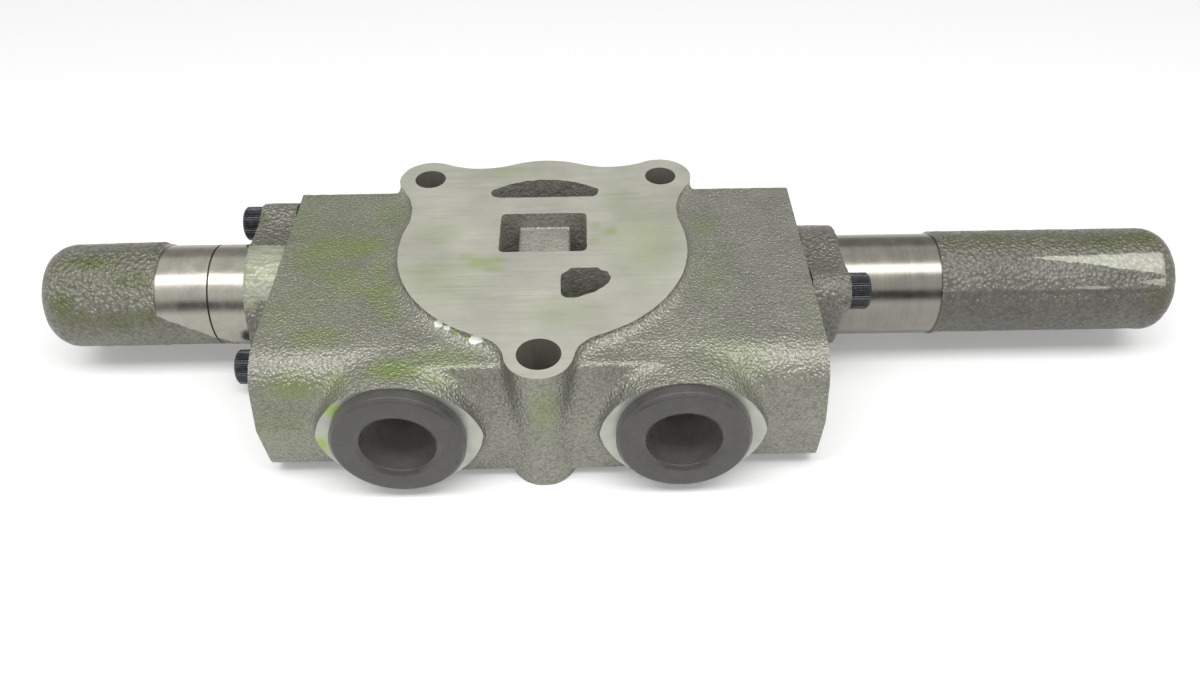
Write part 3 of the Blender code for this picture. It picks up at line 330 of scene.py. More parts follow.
def rod(name, radius, low, high, place=(0, 0, 0), turn=None, sides=48):
    """A round or many-sided bar along X from a place."""
    shape = bmesh.new()
    bmesh.ops.create_cone(
        shape,
        cap_ends=True,
        segments=sides,
        radius1=radius,
        radius2=radius,
        depth=high - low,
        matrix=Matrix.Translation(((low + high) / 2, 0, 0)) @ Matrix.Rotation(pi / 2, 4, "Y"),
    )
    made = Matrix.Translation(place) @ (turn or Matrix.Identity(4))
    return to_object(name, shape, made)


def block(name, low, high):
    """A box between two corners."""
    size = [b - a for a, b in zip(low, high)]
    middle = [(a + b) / 2 for a, b in zip(low, high)]
    shape = bmesh.new()
    place = Matrix.Translation(middle) @ Matrix.Diagonal((*size, 1.0))
    bmesh.ops.create_cube(shape, size=1.0, matrix=place)
    return to_object(name, shape)


def gathered(name, parts):
    """Several solids as one object, still overlapping."""
    shape = bmesh.new()
    for part in parts:
        shape.from_mesh(part.data)
        bpy.data.objects.remove(part, do_unlink=True)
    return to_object(name, shape)


def machined(obj, cutters, finish=None):
    """Takes the cutters out of a piece at once. A new face takes its cutter's finish."""
    bench = bpy.data.collections.new(obj.name + "_cutters")
    for cutter in cutters:
        if finish and not cutter.data.materials:
            cutter.data.materials.append(finish)
        bench.objects.link(cutter)
    step = obj.modifiers.new("machining", "BOOLEAN")
    step.operation = "DIFFERENCE"
    step.operand_type = "COLLECTION"
    step.collection = bench
    step.solver = "MANIFOLD"
    step.material_mode = "TRANSFER"
    settle(obj)
    for cutter in cutters:
        bpy.data.objects.remove(cutter, do_unlink=True)
    bpy.data.collections.remove(bench)
    return obj


def coated(obj, finish):
    """Gives a piece its finish, in place of any other."""
    obj.data.materials.clear()
    obj.data.materials.append(finish)
    return obj


def fill_hollows(mesh, rounds):
    """Smooths a casting only where that adds metal, so hollows get fillets and edges stay."""
    shape = bmesh.new()
    shape.from_mesh(mesh)
    before = [(vert.co.copy(), vert.normal.copy()) for vert in shape.verts]
    for _ in range(rounds):
        bmesh.ops.smooth_vert(
            shape,
            verts=shape.verts,
            factor=0.5,
            use_axis_x=True,
            use_axis_y=True,
            use_axis_z=True,
        )
    for vert, (place, outwards) in zip(shape.verts, before):
        if (vert.co - place).dot(outwards) < 0:
            vert.co = place
    shape.to_mesh(mesh)
    shape.free()


def cast(obj, voxel, fillet_rounds, edge_rounds, unevenness, wave):
    """Turns overlapping solids into one sand casting: joined, filleted and slightly uneven."""
    sand = obj.modifiers.new("sand", "REMESH")
    sand.mode = "VOXEL"
    sand.voxel_size = voxel
    settle(obj)
    fill_hollows(obj.data, fillet_rounds)
    soften = obj.modifiers.new("edges", "SMOOTH")
    soften.factor = 0.5
    soften.iterations = edge_rounds
    texture = bpy.data.textures.new(obj.name + "_skin", "CLOUDS")
    texture.noise_scale = wave
    texture.noise_depth = 2
    skin = obj.modifiers.new("skin", "DISPLACE")
    skin.texture = texture
    skin.texture_coords = "LOCAL"
    skin.strength = unevenness
    skin.mid_level = 0.5
    return settle(obj)


def place_in_frame(obj, turn=None):
    """Turns a finished piece into the frame's metres and shades it."""
    obj.data.transform(TO_FRAME @ (turn or Matrix.Identity(4)))
    obj.data.shade_smooth()
    obj.data.set_sharp_from_angle(angle=SHARP_EDGE)
    return obj


def register_piece(obj, body, slot, *nodes):
    """Tells the frame what a piece rides on and stands for: hangs it on its body's empty and hides those
    parts.
    """
    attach(obj, body)
    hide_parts(*nodes)


# Outlines

def bearing(origin, point):
    """The direction from one point to another, in degrees."""
    return degrees(atan2(point[1] - origin[1], point[0] - origin[0]))


def fillet_centre(c1, r1, c2, r2, radius, side):
    """The centre of a fillet that touches two circles from outside."""
    a = r1 + radius
    b = r2 + radius
    span = hypot(c2[0] - c1[0], c2[1] - c1[1])
    along = (a * a - b * b + span * span) / (2 * span)
    across = sqrt(a * a - along * along)
    ux = (c2[0] - c1[0]) / span
    uy = (c2[1] - c1[1]) / span
    return (c1[0] + ux * along - side * uy * across, c1[1] + uy * along + side * ux * across)


def pad_outline():
    """The ground pad: a disc with a rear bulge, two rear lobes and a front lobe."""
    bulge = (0.0, BULGE_TOP_Y - BULGE_RADIUS)
    lobe = (TIE_X, REAR_TIE_Y)
    disc = (0.0, PAD_CENTRE_Y)
    nose = (0.0, FRONT_TIE_Y)
    dip = fillet_centre(bulge, BULGE_RADIUS, lobe, REAR_LOBE_RADIUS, BULGE_FILLET, 1)
    waist = fillet_centre(lobe, REAR_LOBE_RADIUS, disc, PAD_RADIUS, WAIST_FILLET, 1)
    neck = fillet_centre(disc, PAD_RADIUS, nose, FRONT_LOBE_RADIUS, NECK_FILLET, 1)
    right = arc(bulge, BULGE_RADIUS, 90, bearing(bulge, dip), 14)
    right += arc(dip, BULGE_FILLET, bearing(dip, bulge), bearing(dip, lobe), 10)[1:-1]
    right += arc(lobe, REAR_LOBE_RADIUS, bearing(lobe, dip), bearing(lobe, waist), 24)
    waist_end = bearing(waist, disc) % 360
    right += arc(waist, WAIST_FILLET, bearing(waist, lobe) % 360, waist_end, 12)[1:-1]
    right += arc(disc, PAD_RADIUS, bearing(disc, waist), bearing(disc, neck), 36)
    neck_end = bearing(neck, nose) % 360
    right += arc(neck, NECK_FILLET, bearing(neck, disc), neck_end, 12)[1:-1]
    right += arc(nose, FRONT_LOBE_RADIUS, bearing(nose, neck), -90, 18)
    return right + [(-x, y) for x, y in reversed(right) if abs(x) > 1e-6]


def casting_profile():
    """The body across the spool, with the work ports' side at -Y."""
    upper = (UPPER_SHOULDER_BACK - FRONT_RIDGE, SHOULDER - UPPER_SHOULDER_RADIUS)
    lower = (LOWER_SHOULDER_BACK - FRONT_RIDGE, LOWER_SHOULDER_RADIUS - SHOULDER)
    back = BODY_BACK - BACK_DRAFT
    points = arc((back - BACK_CORNER, BACK_CORNER - SHOULDER), BACK_CORNER, -90, 0, 6)
    points.append((BODY_BACK, 0.0))
    points += arc((back - BACK_CORNER, SHOULDER - BACK_CORNER), BACK_CORNER, 0, 90, 6)
    points += arc(upper, UPPER_SHOULDER_RADIUS, 90, 168, 20)
    points.append((-FRONT_RIDGE, 0.0))
    points += arc(lower, LOWER_SHOULDER_RADIUS, 190, 270, 12)
    return points


def front_wall_profile():
    """The straighter wall between the two port bosses, nearly upright below the parting line."""
    crest = FRONT_WALL_SLOPE - FRONT_RIDGE
    foot = FRONT_WALL_FOOT_SLOPE - FRONT_RIDGE
    high = FRONT_WALL_HEIGHT
    return [(0.0, -high), (0.0, high), (crest, high), (-FRONT_RIDGE, 0.0), (foot, -high)]


def port_face_outline(grow):
    """Two arcs that meet in tips on the parting line, cut level with the shoulders."""
    width = PORT_FACE_TIP + grow
    points = []
    for side, reach in ((1, PORT_FACE_HIGH + grow), (-1, PORT_FACE_LOW + grow)):
        radius = (width * width + reach * reach) / (2 * reach)
        tip = degrees(atan2(radius - reach, width))
        bow = arc((0.0, reach - radius), radius, tip, 180 - tip, 40)
        points += bow if side > 0 else [(-x, -z) for x, z in bow[1:-1]]
    return [(x, max(-PORT_LEVEL, min(PORT_LEVEL, z))) for x, z in points]


def crescent_outline():
    """The return gallery: an arc with a flat front and round ends."""
    centre_y = 2.5
    flat_y = 21.9
    radius = 30.3
    end = 3.2
    x = 19.0 - end
    y = centre_y + sqrt((radius - end) ** 2 - x * x)
    top = bearing((0.0, centre_y), (x, y))
    right = arc((0.0, centre_y), radius, 90, top, 14)
    right += arc((x, flat_y + end), end, top, -90, 8)[1:]
    return right + [(-x, y) for x, y in reversed(right) if abs(x) > 1e-6]


def inlet_outline():
    """The pressure gallery: square at the left, sloping to the right, with two notched corners."""
    left = [(6.1, -30.6), (6.1, -20.8), (8.6, -19.7), (8.9, -18.0)]
    right = [(18.2, -18.0), (18.9, -19.5), (20.9, -19.8), (22.3, -23.3), (21.3, -26.0)]
    front = [(17.2, -30.0), (10.8, -33.0), (7.4, -32.9)]
    return eased(left + right + front, radius=1.4, closed=True)


def window_outline(half_width):
    """The open-centre window, a rounded rectangle across the spool."""
    corners = [
        (-half_width, WINDOW_FRONT),
        (half_width, WINDOW_FRONT),
        (half_width, WINDOW_BACK),
        (-half_width, WINDOW_BACK),
    ]
    return eased(corners, radius=2.0, steps=5, closed=True)


def flange_outline():
    """A cap's flange: a round hub drawn out to two ears, with slightly hollow sides."""
    y, z = SCREW_PLACES["upper"]
    lean = atan2(z, y)
    hub = (0.0, 0.0)
    ear = (hypot(y, z), 0.0)
    side = fillet_centre(hub, CAP_HUB_RADIUS, ear, CAP_EAR_RADIUS, CAP_EAR_FILLET, 1)
    off_hub = bearing(hub, side)
    off_ear = bearing(ear, side)
    quarter = arc(ear, CAP_EAR_RADIUS, 0, off_ear, 12)
    quarter += arc(side, CAP_EAR_FILLET, off_ear - 180, off_hub - 180, 8)[1:-1]
    quarter += arc(hub, CAP_HUB_RADIUS, off_hub, 90, 6)
    half = quarter + [(-a, b) for a, b in reversed(quarter[:-1])]
    whole = half + [(a, -b) for a, b in reversed(half[1:-1])]
    return [(a * cos(lean) - b * sin(lean), a * sin(lean) + b * cos(lean)) for a, b in whole]


# The body

def raw_casting():
    """The casting's solids, drawn past every face that is machined later."""
    length = HALF_LENGTH + STOCK
    wall = FRONT_WALL_HALF_WIDTH
    stack = HALF_THICKNESS + PAST
    parts = [
        slab("block", casting_profile(), -length, length, ACROSS_X),
        slab("front_wall", front_wall_profile(), -wall, wall, ACROSS_X),
        slab("pads", pad_outline(), -stack, stack),
    ]
    root = (PORT_FACE - PORT_BOSS_ROOT) * PORT_DRAFT
    for side in (-1, 1):
        boss = bridged(
            "boss",
            port_face_outline(root),
            port_face_outline(-STOCK * PORT_DRAFT),
            PORT_BOSS_ROOT,
            PORT_FACE + STOCK,
            Matrix.Translation((side * PORT_X, 0, 0)) @ FACING_PORT,
        )
        parts.append(boss)
    return gathered("valve_body_casting", parts)


def spool_bore():
    """The spool's bore with the ring-shaped cores round it."""
    steps = [
        (*TANK_CORE, TANK_CORE_RADIUS),
        (*PORT_CORE, CORE_RADIUS),
        (*PRESSURE_CORE, CORE_RADIUS),
        (SADDLE_HALF_WIDTH + CLEAR, WINDOW_HALF_WIDTH - CLEAR, CORE_RADIUS),
    ]
    bore = BORE_RADIUS
    end = HALF_LENGTH + PAST
    mouth = bore + CHAMFER
    right = [(end, 0.0), (end, mouth), (HALF_LENGTH, mouth), (HALF_LENGTH - CHAMFER, bore)]
    for inner, outer, radius in steps:
        right += [(outer, bore), (outer, radius), (inner, radius), (inner, bore)]
    right += [(CENTRE_CORE_END, bore), (CENTRE_CORE_END, CORE_RADIUS)]
    return spun("spool_bore", right + [(-x, r) for x, r in reversed(right)])


def port_cavity(side):
    """A work port, from past its face in to the spool's bore."""
    mouth = PORT_RADIUS + PORT_CHAMFER
    profile = [
        (PORT_FACE + PAST, 0.0),
        (PORT_FACE + PAST, mouth),
        (PORT_FACE, mouth),
        (PORT_FACE - 2 * PORT_CHAMFER, PORT_RADIUS),
        (PORT_LEDGE, PORT_RADIUS),
        (PORT_LEDGE, PASSAGE_RADIUS),
        (BORE_RADIUS + 1.0, PASSAGE_RADIUS),
        (BORE_RADIUS - 1.0, 0.0),
    ]
    place = Matrix.Translation((side * PORT_X, 0, 0)) @ OUT_OF_PORT
    return spun("port_cavity", profile, 96, place)


def check_cavity():
    """The load check's cavity, from its closed top down to the lower stack face."""
    profile = [
        (15.0, 0.0),
        (13.0, CHECK_CHAMBER_RADIUS),
        (CHECK_SEAT + 2.0, CHECK_CHAMBER_RADIUS),
        (CHECK_SEAT + 2.0, CHECK_SEAT_RADIUS),
        (CHECK_SEAT, CHECK_SEAT_RADIUS),
        (CHECK_SEAT, CHECK_BORE_RADIUS),
        (CHECK_LEDGE, CHECK_BORE_RADIUS),
        (CHECK_LEDGE, CHECK_THREAD_RADIUS),
        (-HALF_THICKNESS - PAST, CHECK_THREAD_RADIUS),
        (-HALF_THICKNESS - PAST, 0.0),
    ]
    return spun("check_cavity", profile, 64, Matrix.Translation(CHECK_PLACE) @ ONTO_Z)


def drilled_ways():
    """The load check's feed and outlet, the bridge over the cores and the tank channel."""
    arm_x = (PRESSURE_CORE[0] + PRESSURE_CORE[1]) / 2
    tank_x = (TANK_CORE[0] + TANK_CORE[1]) / 2
    arm = -BRIDGE_Y - (BORE_RADIUS + CORE_RADIUS) / 2
    x, y, _ = CHECK_PLACE
    inlet_x = 14.2
    wide = 3.6
    narrow = 2.9
    made = [
        rod("feed", wide, 0, inlet_x - x, (x, y, 10.0)),
        rod("outlet", narrow, 0, y - BRIDGE_Y, (x, y, BRIDGE_Z), OUT_OF_PORT),
        rod("bridge", wide, -arm_x, arm_x, (0, BRIDGE_Y, BRIDGE_Z)),
        rod("tank_channel", 4.4, -tank_x, tank_x, (0, 20.3, 0)),
    ]
    for side in (-1, 1):
        place = (side * arm_x, BRIDGE_Y, BRIDGE_Z)
        made.append(rod("arm", narrow, -arm, 0, place, OUT_OF_PORT))
    return made


def cored_openings(reach):
    """The galleries on the stack faces, with the rough edges that sand cores leave."""
    crescent = slab("crescent", crescent_outline(), -reach, reach)
    inlet = slab("inlet", inlet_outline(), -reach, reach)
    for core in (crescent, inlet):
        cast(core, voxel=0.7, fillet_rounds=0, edge_rounds=1, unevenness=0.5, wave=2.2)
    window = slab("window", window_outline(WINDOW_HALF_WIDTH), 0.0, reach)
    low = (-SADDLE_HALF_WIDTH, WINDOW_FRONT - PAST, -PAST)
    web = block("saddle", low, (SADDLE_HALF_WIDTH, WINDOW_BACK + PAST, SADDLE_TOP))
    machined(window, [web])
    cast(window, voxel=0.5, fillet_rounds=8, edge_rounds=3, unevenness=0.35, wave=2.2)
    outlet = slab("outlet", window_outline(CENTRE_CORE_END), -reach, 0.0)
    return [crescent, inlet, window, outlet]


def make_body(settings, finishes):
    """The casting with its ground pads, faced ports, bores and galleries."""
    body = raw_casting()
    cast(
        body,
        voxel=settings.grid / MM,
        fillet_rounds=settings.fillet_rounds,
        edge_rounds=2,
        unevenness=settings.unevenness / MM,
        wave=settings.wave / MM,
    )
    coated(body, finishes["skin"])
    past = 8.0
    long = HALF_LENGTH + past
    wide = 90.0
    boss_reach = 30.0
    thick = HALF_THICKNESS + past
    ground = [
        block("upper_face", (-long, -wide, HALF_THICKNESS), (long, wide, thick)),
        block("lower_face", (-long, -wide, -thick), (long, wide, -HALF_THICKNESS)),
    ]
    faced = []
    for side in (-1, 1):
        end = sorted((side * HALF_LENGTH, side * long))
        faced.append(block("end_face", (end[0], -wide, -thick), (end[1], wide, thick)))
        port = sorted((side * (PORT_X - boss_reach), side * (PORT_X + boss_reach)))
        low = (port[0], -PORT_FACE - past, -thick)
        faced.append(block("port_face", low, (port[1], -PORT_FACE, thick)))
    reach = HALF_THICKNESS + PAST
    bored = [spool_bore(), port_cavity(-1), port_cavity(1), check_cavity()]
    bored += [rod("front_tie", FRONT_TIE_RADIUS, -reach, reach, (0, FRONT_TIE_Y, 0), ONTO_Z)]
    for side in (-1, 1):
        tie = (side * TIE_X, REAR_TIE_Y, 0)
        bored.append(rod("rear_tie", REAR_TIE_RADIUS, -reach, reach, tie, ONTO_Z))
        turn = OTHER_END if side < 0 else Matrix.Identity(4)
        for y, z in SCREW_PLACES.values():
            end = HALF_LENGTH + PAST
            hole = rod("tapped", TAPPED_RADIUS, TAPPED_FOOT, end, (0, y, z), sides=32)
            hole.data.transform(turn)
            bored.append(hole)
    cored = cored_openings(reach) + drilled_ways()
    for tools, finish in ((ground, "ground"), (faced, "faced"), (bored, "bored"), (cored, "core")):
        for tool in tools:
            coated(tool, finishes[finish])
    machined(body, ground + faced + bored + cored)
    return place_in_frame(body)


# The caps and their screws

def leave_low_front(cap, shift):
    """Sinks the casting where the short cap's barrel kept its skin, and tapers the nose.

    The nose stands off the turned axis, so the tool ran out of metal low at the front.
    """
    corner = Vector((SHORT_CAP_TURNED_END, 16.6, 5.1))
    square = Vector((-25.1, -34.6, 43.9)).normalized()
    for vert in cap.data.vertices:
        x, y, z = vert.co
        radius = hypot(y, z)
        # The hub and the cap's end keep their shape.
        if x < CAP_HUB_END + 1.2 or radius < CAP_BARREL_RADIUS - 1.5:
            continue
        lean = (y * shift[0] + z * shift[1]) / radius
        if x < SHORT_CAP_TURNED_END + 1.0:
            uneven = radius - CAP_CAST_RADIUS - lean
            above = square.dot(vert.co - corner)
            sloped = min(CAP_CAST_RADIUS, CAP_BARREL_RADIUS + 0.1 * above)
            wanted = max(CAP_BARREL_RADIUS - 0.2, sloped) + 0.5 * uneven
        else:
            along = min(1.0, (x - SHORT_CAP_TURNED_END) / 36.0)
            wanted = radius + max(0.0, lean) * (0.5 - along)
        vert.co.y *= wanted / radius
        vert.co.z *= wanted / radius


def offset_lower_half(cap):
    """Steps the long cap's lower front half in, as its mould's halves left it."""
    split = Vector((0.0, -0.5, -0.866))
    for vert in cap.data.vertices:
        radius = hypot(vert.co.y, vert.co.z)
        if vert.co.x < LONG_CAP_TURNED_END + 0.5 or radius < CAP_BARREL_RADIUS - 1.5:
            continue
        depth = max(0.0, min(1.0, split.dot(vert.co) / 1.2))
        fade = max(0.0, min(1.0, (LONG_CAP_END - 5.0 - vert.co.x) / 4.0))
        wanted = radius - 0.5 * depth * fade
        vert.co.y *= wanted / radius
        vert.co.z *= wanted / radius


def make_cap(name, end, turned_end, line_at, shift, settings, finishes, turn):
    """A cap with a turned barrel, a cast nose and two ears for its screws.

    The short one has a line round its barrel. The long one has its mould's step and pimple.
    """
    cast_radius = CAP_CAST_RADIUS
    nose = arc((end - CAP_END_RADIUS, cast_radius - CAP_END_RADIUS), CAP_END_RADIUS, 0, 90, 12)
    foot = CAP_FACE - STOCK
    profile = [(end, 0.0)] + nose + [(foot, cast_radius), (foot, 0.0)]
    barrel = spun("nose", profile, 96)
    barrel.data.transform(Matrix.Translation((0, shift[0], shift[1])))
    flange = slab("flange", flange_outline(), foot, CAP_HUB_END, ACROSS_X)
    parts = [barrel, flange]
    if not line_at:
        parts.append(rod("pimple", 1.3, 147.0, 149.4, (0, 11.4, 12.4), sides=12))
    cap = gathered(name, parts)
    cast(
        cap,
        voxel=settings.cap_grid / MM,
        fillet_rounds=4,
        edge_rounds=2,
        unevenness=settings.unevenness / MM,
        wave=settings.wave / MM,
    )
    if line_at:
        leave_low_front(cap, shift)
    else:
        offset_lower_half(cap)
    coated(cap, finishes["skin"])
    root = CAP_BARREL_RADIUS
    clear_of_cap = 24.0
    turning = [
        (turned_end - 0.9, root),
        (turned_end, clear_of_cap),
        (CAP_HUB_END - 0.2, clear_of_cap),
        (CAP_HUB_END - 0.2, root + 0.5),
        (CAP_HUB_END + 0.4, root),
    ]
    turned = [spun("turning", turning, 128)]
    turned.append(block("back", (CAP_FACE - 9, -40, -40), (CAP_FACE, 40, 40)))
    scribed = []
    if line_at:
        half = 0.3
        line = [(line_at - half, root - half), (line_at + half, root - half)]
        line += [(line_at + half, root + 2), (line_at - half, root + 2)]
        scribed.append(spun("line", line, 128))
    cavity = CAP_CAVITY_RADIUS
    floor = end - CAP_END_WALL
    back = CAP_FACE - 3
    hollow = [
        (end + PAST, 0.0),
        (end + PAST, PILOT_RADIUS + CHAMFER),
        (end, PILOT_RADIUS + CHAMFER),
        (end - CHAMFER, PILOT_RADIUS),
        (floor, PILOT_RADIUS),
        (floor, cavity),
        (back, cavity),
        (back, 0.0),
    ]
    outer = CAP_SEAL_RADIUS + 1.6
    inner = CAP_SEAL_RADIUS - 1.6
    groove_floor = CAP_FACE + 2.3
    groove = [(groove_floor, outer), (groove_floor, inner), (back, inner), (back, outer)]
    bored = [spun("hollow", hollow, 96), spun("seal_groove", groove, 96)]
    for y, z in SCREW_PLACES.values():
        place = (0, y, z)
        bored.append(rod("screw_hole", SCREW_HOLE_RADIUS, back, CAP_HUB_END + 2, place, sides=32))
        bored.append(rod("spotface", SPOTFACE_RADIUS, SCREW_SEAT, CAP_HUB_END + 6, place))
    for tools, finish_name in ((turned, "turned"), (bored, "bored"), (scribed, "scribed")):
        for tool in tools:
            coated(tool, finishes[finish_name])
    machined(cap, turned + scribed + bored)
    return place_in_frame(cap, turn)


def make_screw(name, place, finish, turn):
    """A socket head screw with a knurled head."""
    head = SCREW_HEAD_RADIUS
    under = SCREW_SEAT + CLEAR
    top = SCREW_HEAD_TOP
    bevel = 0.7
    spokes = 144
    profile = [(top, 0.0)]
    rim = [(top, 2.0), (top, head - bevel), (top - bevel, head), (under + 0.3, head)]
    profile += eased(rim, 0.25)
    profile += [(under, head - 0.3), (under, SCREW_RADIUS), (SCREW_FOOT + bevel, SCREW_RADIUS)]
    profile += [(SCREW_FOOT, SCREW_RADIUS - bevel), (SCREW_FOOT, 0.0)]
    screw = spun(name, profile, spokes)
    for vert in screw.data.vertices:
        radius = hypot(vert.co.y, vert.co.z)
        spoke = round(atan2(vert.co.z, vert.co.y) / (2 * pi) * spokes) % 3
        if spoke == 0 and radius > head - 0.02 and vert.co.x < top - 0.9:
            vert.co.y *= (head - KNURL_DEPTH) / radius
            vert.co.z *= (head - KNURL_DEPTH) / radius
    across = SCREW_KEY / 2 / cos(pi / 6)
    key = rod("key", across, top - 4.0, top + PAST, sides=6)
    coated(screw, finish)
    machined(screw, [key], finish)
    screw.data.transform(Matrix.Translation((0, *place)))
    return place_in_frame(screw, turn)


# The spool and what rides on it

def make_spool(finish):
    """The spool with its necks and metering notches."""
    land = SPOOL_RADIUS
    end = SPOOL_END
    hole = 3.8
    right = [(end - SPOOL_THREAD_DEPTH, 0.0), (end - SPOOL_THREAD_DEPTH + 1.9, hole), (end, hole)]
    right += [(end, land - CHAMFER), (end - CHAMFER, land)]
    for inner, outer in NECKS:
        right += [(outer, land), (outer - 0.3, NECK_RADIUS), (inner + 0.3, NECK_RADIUS), (inner, land)]
    spool = spun("spool_turned", right + [(-x, r) for x, r in reversed(right)], 96)
    coated(spool, finish)
    notches = []
    notch_length = 2.4
    for edge, inwards in ((NECKS[1][1], 1), (NECKS[0][0], -1)):
        for side in (-1, 1):
            for number in range(4):
                angle = 2 * pi * (number + 0.5) / 4
                ends = (side * (edge - inwards * PAST), side * (edge + inwards * notch_length))
                low, high = sorted(ends)
                place = (0, land * cos(angle), land * sin(angle))
                notches.append(rod("notch", 1.6, low, high, place, sides=20))
    machined(spool, notches, finish)
    return place_in_frame(spool)


def make_seat(name, finish, turn):
    """A spring seat, with a lip that centres the spring."""
    hole = 3.8
    low = SPOOL_END + CLEAR
    lip = SEAT_TOP + 2.2
    outline = [
        (lip, hole),
        (lip, SEAT_LIP_RADIUS),
        (SEAT_TOP, SEAT_LIP_RADIUS),
        (SEAT_TOP, SEAT_RADIUS),
        (low, SEAT_RADIUS),
        (low, hole),
    ]
    seat = spun(name, eased(outline, 0.5, closed=True))
    return place_in_frame(coated(seat, finish), turn)


def seat_screw_outline():
    """From the screw's head down to the end of its thread."""
    foot = SPOOL_END - SPOOL_THREAD_DEPTH + 3.5
    shank = SEAT_SCREW_RADIUS
    return [
        (SEAT_SCREW_TOP, SEAT_SCREW_HEAD_RADIUS),
        (SEAT_SCREW_UNDER, SEAT_SCREW_HEAD_RADIUS),
        (SEAT_SCREW_UNDER, shank),
        (foot + 0.5, shank),
        (foot, shank - 0.5),
        (foot, 0.0),
    ]


def make_seat_screw(finish):
    """The socket head screw that holds the short side's seat."""
    outline = [(SEAT_SCREW_TOP, 0.0)] + seat_screw_outline()
    screw = coated(spun("short_side_seat_screw_turned", eased(outline, 0.45), 64), finish)
    key = rod("key", 2.5 / cos(pi / 6), SEAT_SCREW_TOP - 3.0, SEAT_SCREW_TOP + PAST, sides=6)
    machined(screw, [key], finish)
    return place_in_frame(screw, OTHER_END)


def make_guide_rod(finish):
    """The long side's seat screw, drawn out into a rod that keeps the long spring straight."""
    stem = 4.2
    tip = [(GUIDE_ROD_END, 0.0), (GUIDE_ROD_END, stem - 1.0), (GUIDE_ROD_END - 1.0, stem)]
    outline = tip + [(SEAT_SCREW_TOP, stem)] + seat_screw_outline()
    guide = spun("long_side_guide_rod_turned", eased(outline, 0.45), 64)
    return place_in_frame(coated(guide, finish))


def round_section(shape, sides, thickness, along, radius):
    """The section of a wire or ring that goes round X, at its place."""
    made = bmesh.ops.create_circle(
        shape,
        segments=sides,
        radius=thickness / 2,
        matrix=Matrix.Translation((along, 0, radius)) @ Matrix.Rotation(pi / 2, 4, "X"),
    )
    return made["verts"] + list(shape.edges)


def coil(name, radius, wire, low, high, coils, finish, turn=None):
    """A compression spring round X, with closed end coils."""
    closed = wire * 1.06
    pitch = (high - low - wire - 2 * closed) / (coils - 2)
    per_turn = 36
    shape = bmesh.new()
    last = round_section(shape, 12, wire, low + wire / 2, radius)
    for turns, rise in ((1, closed), (coils - 2, pitch), (1, closed)):
        last = revolve(shape, last, per_turn * turns, 2 * pi * turns, rise / per_turn)
    bmesh.ops.holes_fill(shape, edges=[e for e in shape.edges if e.is_boundary], sides=12)
    clean(shape)
    return place_in_frame(coated(to_object(name, shape, turn), finish))


def ring(name, centre, radius, section, finish, turn=None):
    """A ring seal round X."""
    shape = bmesh.new()
    revolve(shape, round_section(shape, 20, section, centre, radius), 96)
    clean(shape)
    return place_in_frame(coated(to_object(name, shape), finish), turn)


# The load check

def make_poppet(finish, turn):
    """The poppet, with a coned face and a stem that its spring slips over."""
    face = 5.98
    cone = 3.0
    head = 7.2
    stem = 3.2
    foot = -12.7
    outline = [(face, 0.0), (face, head - cone), (face - cone, head), (face - 2 * cone, head)]
    outline += [(face - 2 * cone, stem), (foot, stem), (foot, 0.0)]
    poppet = spun("load_check_poppet_turned", eased(outline, 0.3), 64)
    return place_in_frame(coated(poppet, finish), turn)


def make_check_plug(finish, turn):
    """The plug that closes the load check's bore, with its seal's groove and its key."""
    foot = 0.9 - HALF_THICKNESS
    key_depth = 3.4
    floor = foot + key_depth + 1.2
    top = CHECK_LEDGE - CLEAR
    hole = 3.5
    outside = CHECK_THREAD_RADIUS - CLEAR
    groove = 7.1
    groove_reach = 0.95
    outline = [
        (floor, 0.0),
        (floor, hole),
        (top, hole),
        (top, outside),
        (CHECK_SEAL_AT + groove_reach, outside),
        (CHECK_SEAL_AT + groove_reach, groove),
        (CHECK_SEAL_AT - groove_reach, groove),
        (CHECK_SEAL_AT - groove_reach, outside),
        (foot, outside),
        (foot, 0.0),
    ]
    plug = coated(spun("load_check_plug_turned", eased(outline, 0.4), 64), finish)
    key = rod("key", 4.0 / cos(pi / 6), foot - PAST, foot + key_depth, sides=6)
    machined(plug, [key], finish)
    return place_in_frame(plug, turn)


# The shipping plugs

def make_port_plug(name, side, finish):
    """A moulded cup that closes a work port until a hose is fitted."""
    back = PORT_FACE + CLEAR
    top = back + 4.4
    wall = PORT_RADIUS - CLEAR
    foot = PORT_LEDGE + 2 * CLEAR
    floor = foot + 2.0
    rim = 20.45
    bevel = 1.1
    outline = [
        (floor, 5.0),
        (floor, 10.4),
        (top - 2.4, 11.3),
        (top - 1.0, 11.5),
        (top, 13.0),
        (top, rim - bevel),
        (top - bevel, rim),
        (back, rim),
        (back, wall),
        (foot + 1.0, wall - 0.4),
        (foot, wall - 1.4),
        (foot, 5.0),
    ]
    profile = [(floor, 0.0)] + eased(outline, 0.45) + [(foot, 0.0)]
    place = Matrix.Translation((side * PORT_X, 0, 0)) @ OUT_OF_PORT
    return place_in_frame(coated(spun(name, profile, 128), finish), place)


# Finishes

def linear(code):
    """An sRGB hex value as a linear colour."""
    channels = [int(code[i:i + 2], 16) / 255 for i in (1, 3, 5)]
    return tuple(c / 12.92 if c <= 0.04045 else ((c + 0.055) / 1.055) ** 2.4 for c in channels)


def shade(tone, factor=1.0):
    """A colour made lighter or darker, as a node's input takes it."""
    return (*(min(1.0, c * factor) for c in tone), 1.0)


def per_mm(size):
    """A pattern's scale for features of a size in millimetres, on coordinates in metres."""
    return 1.0 / (size * MM)


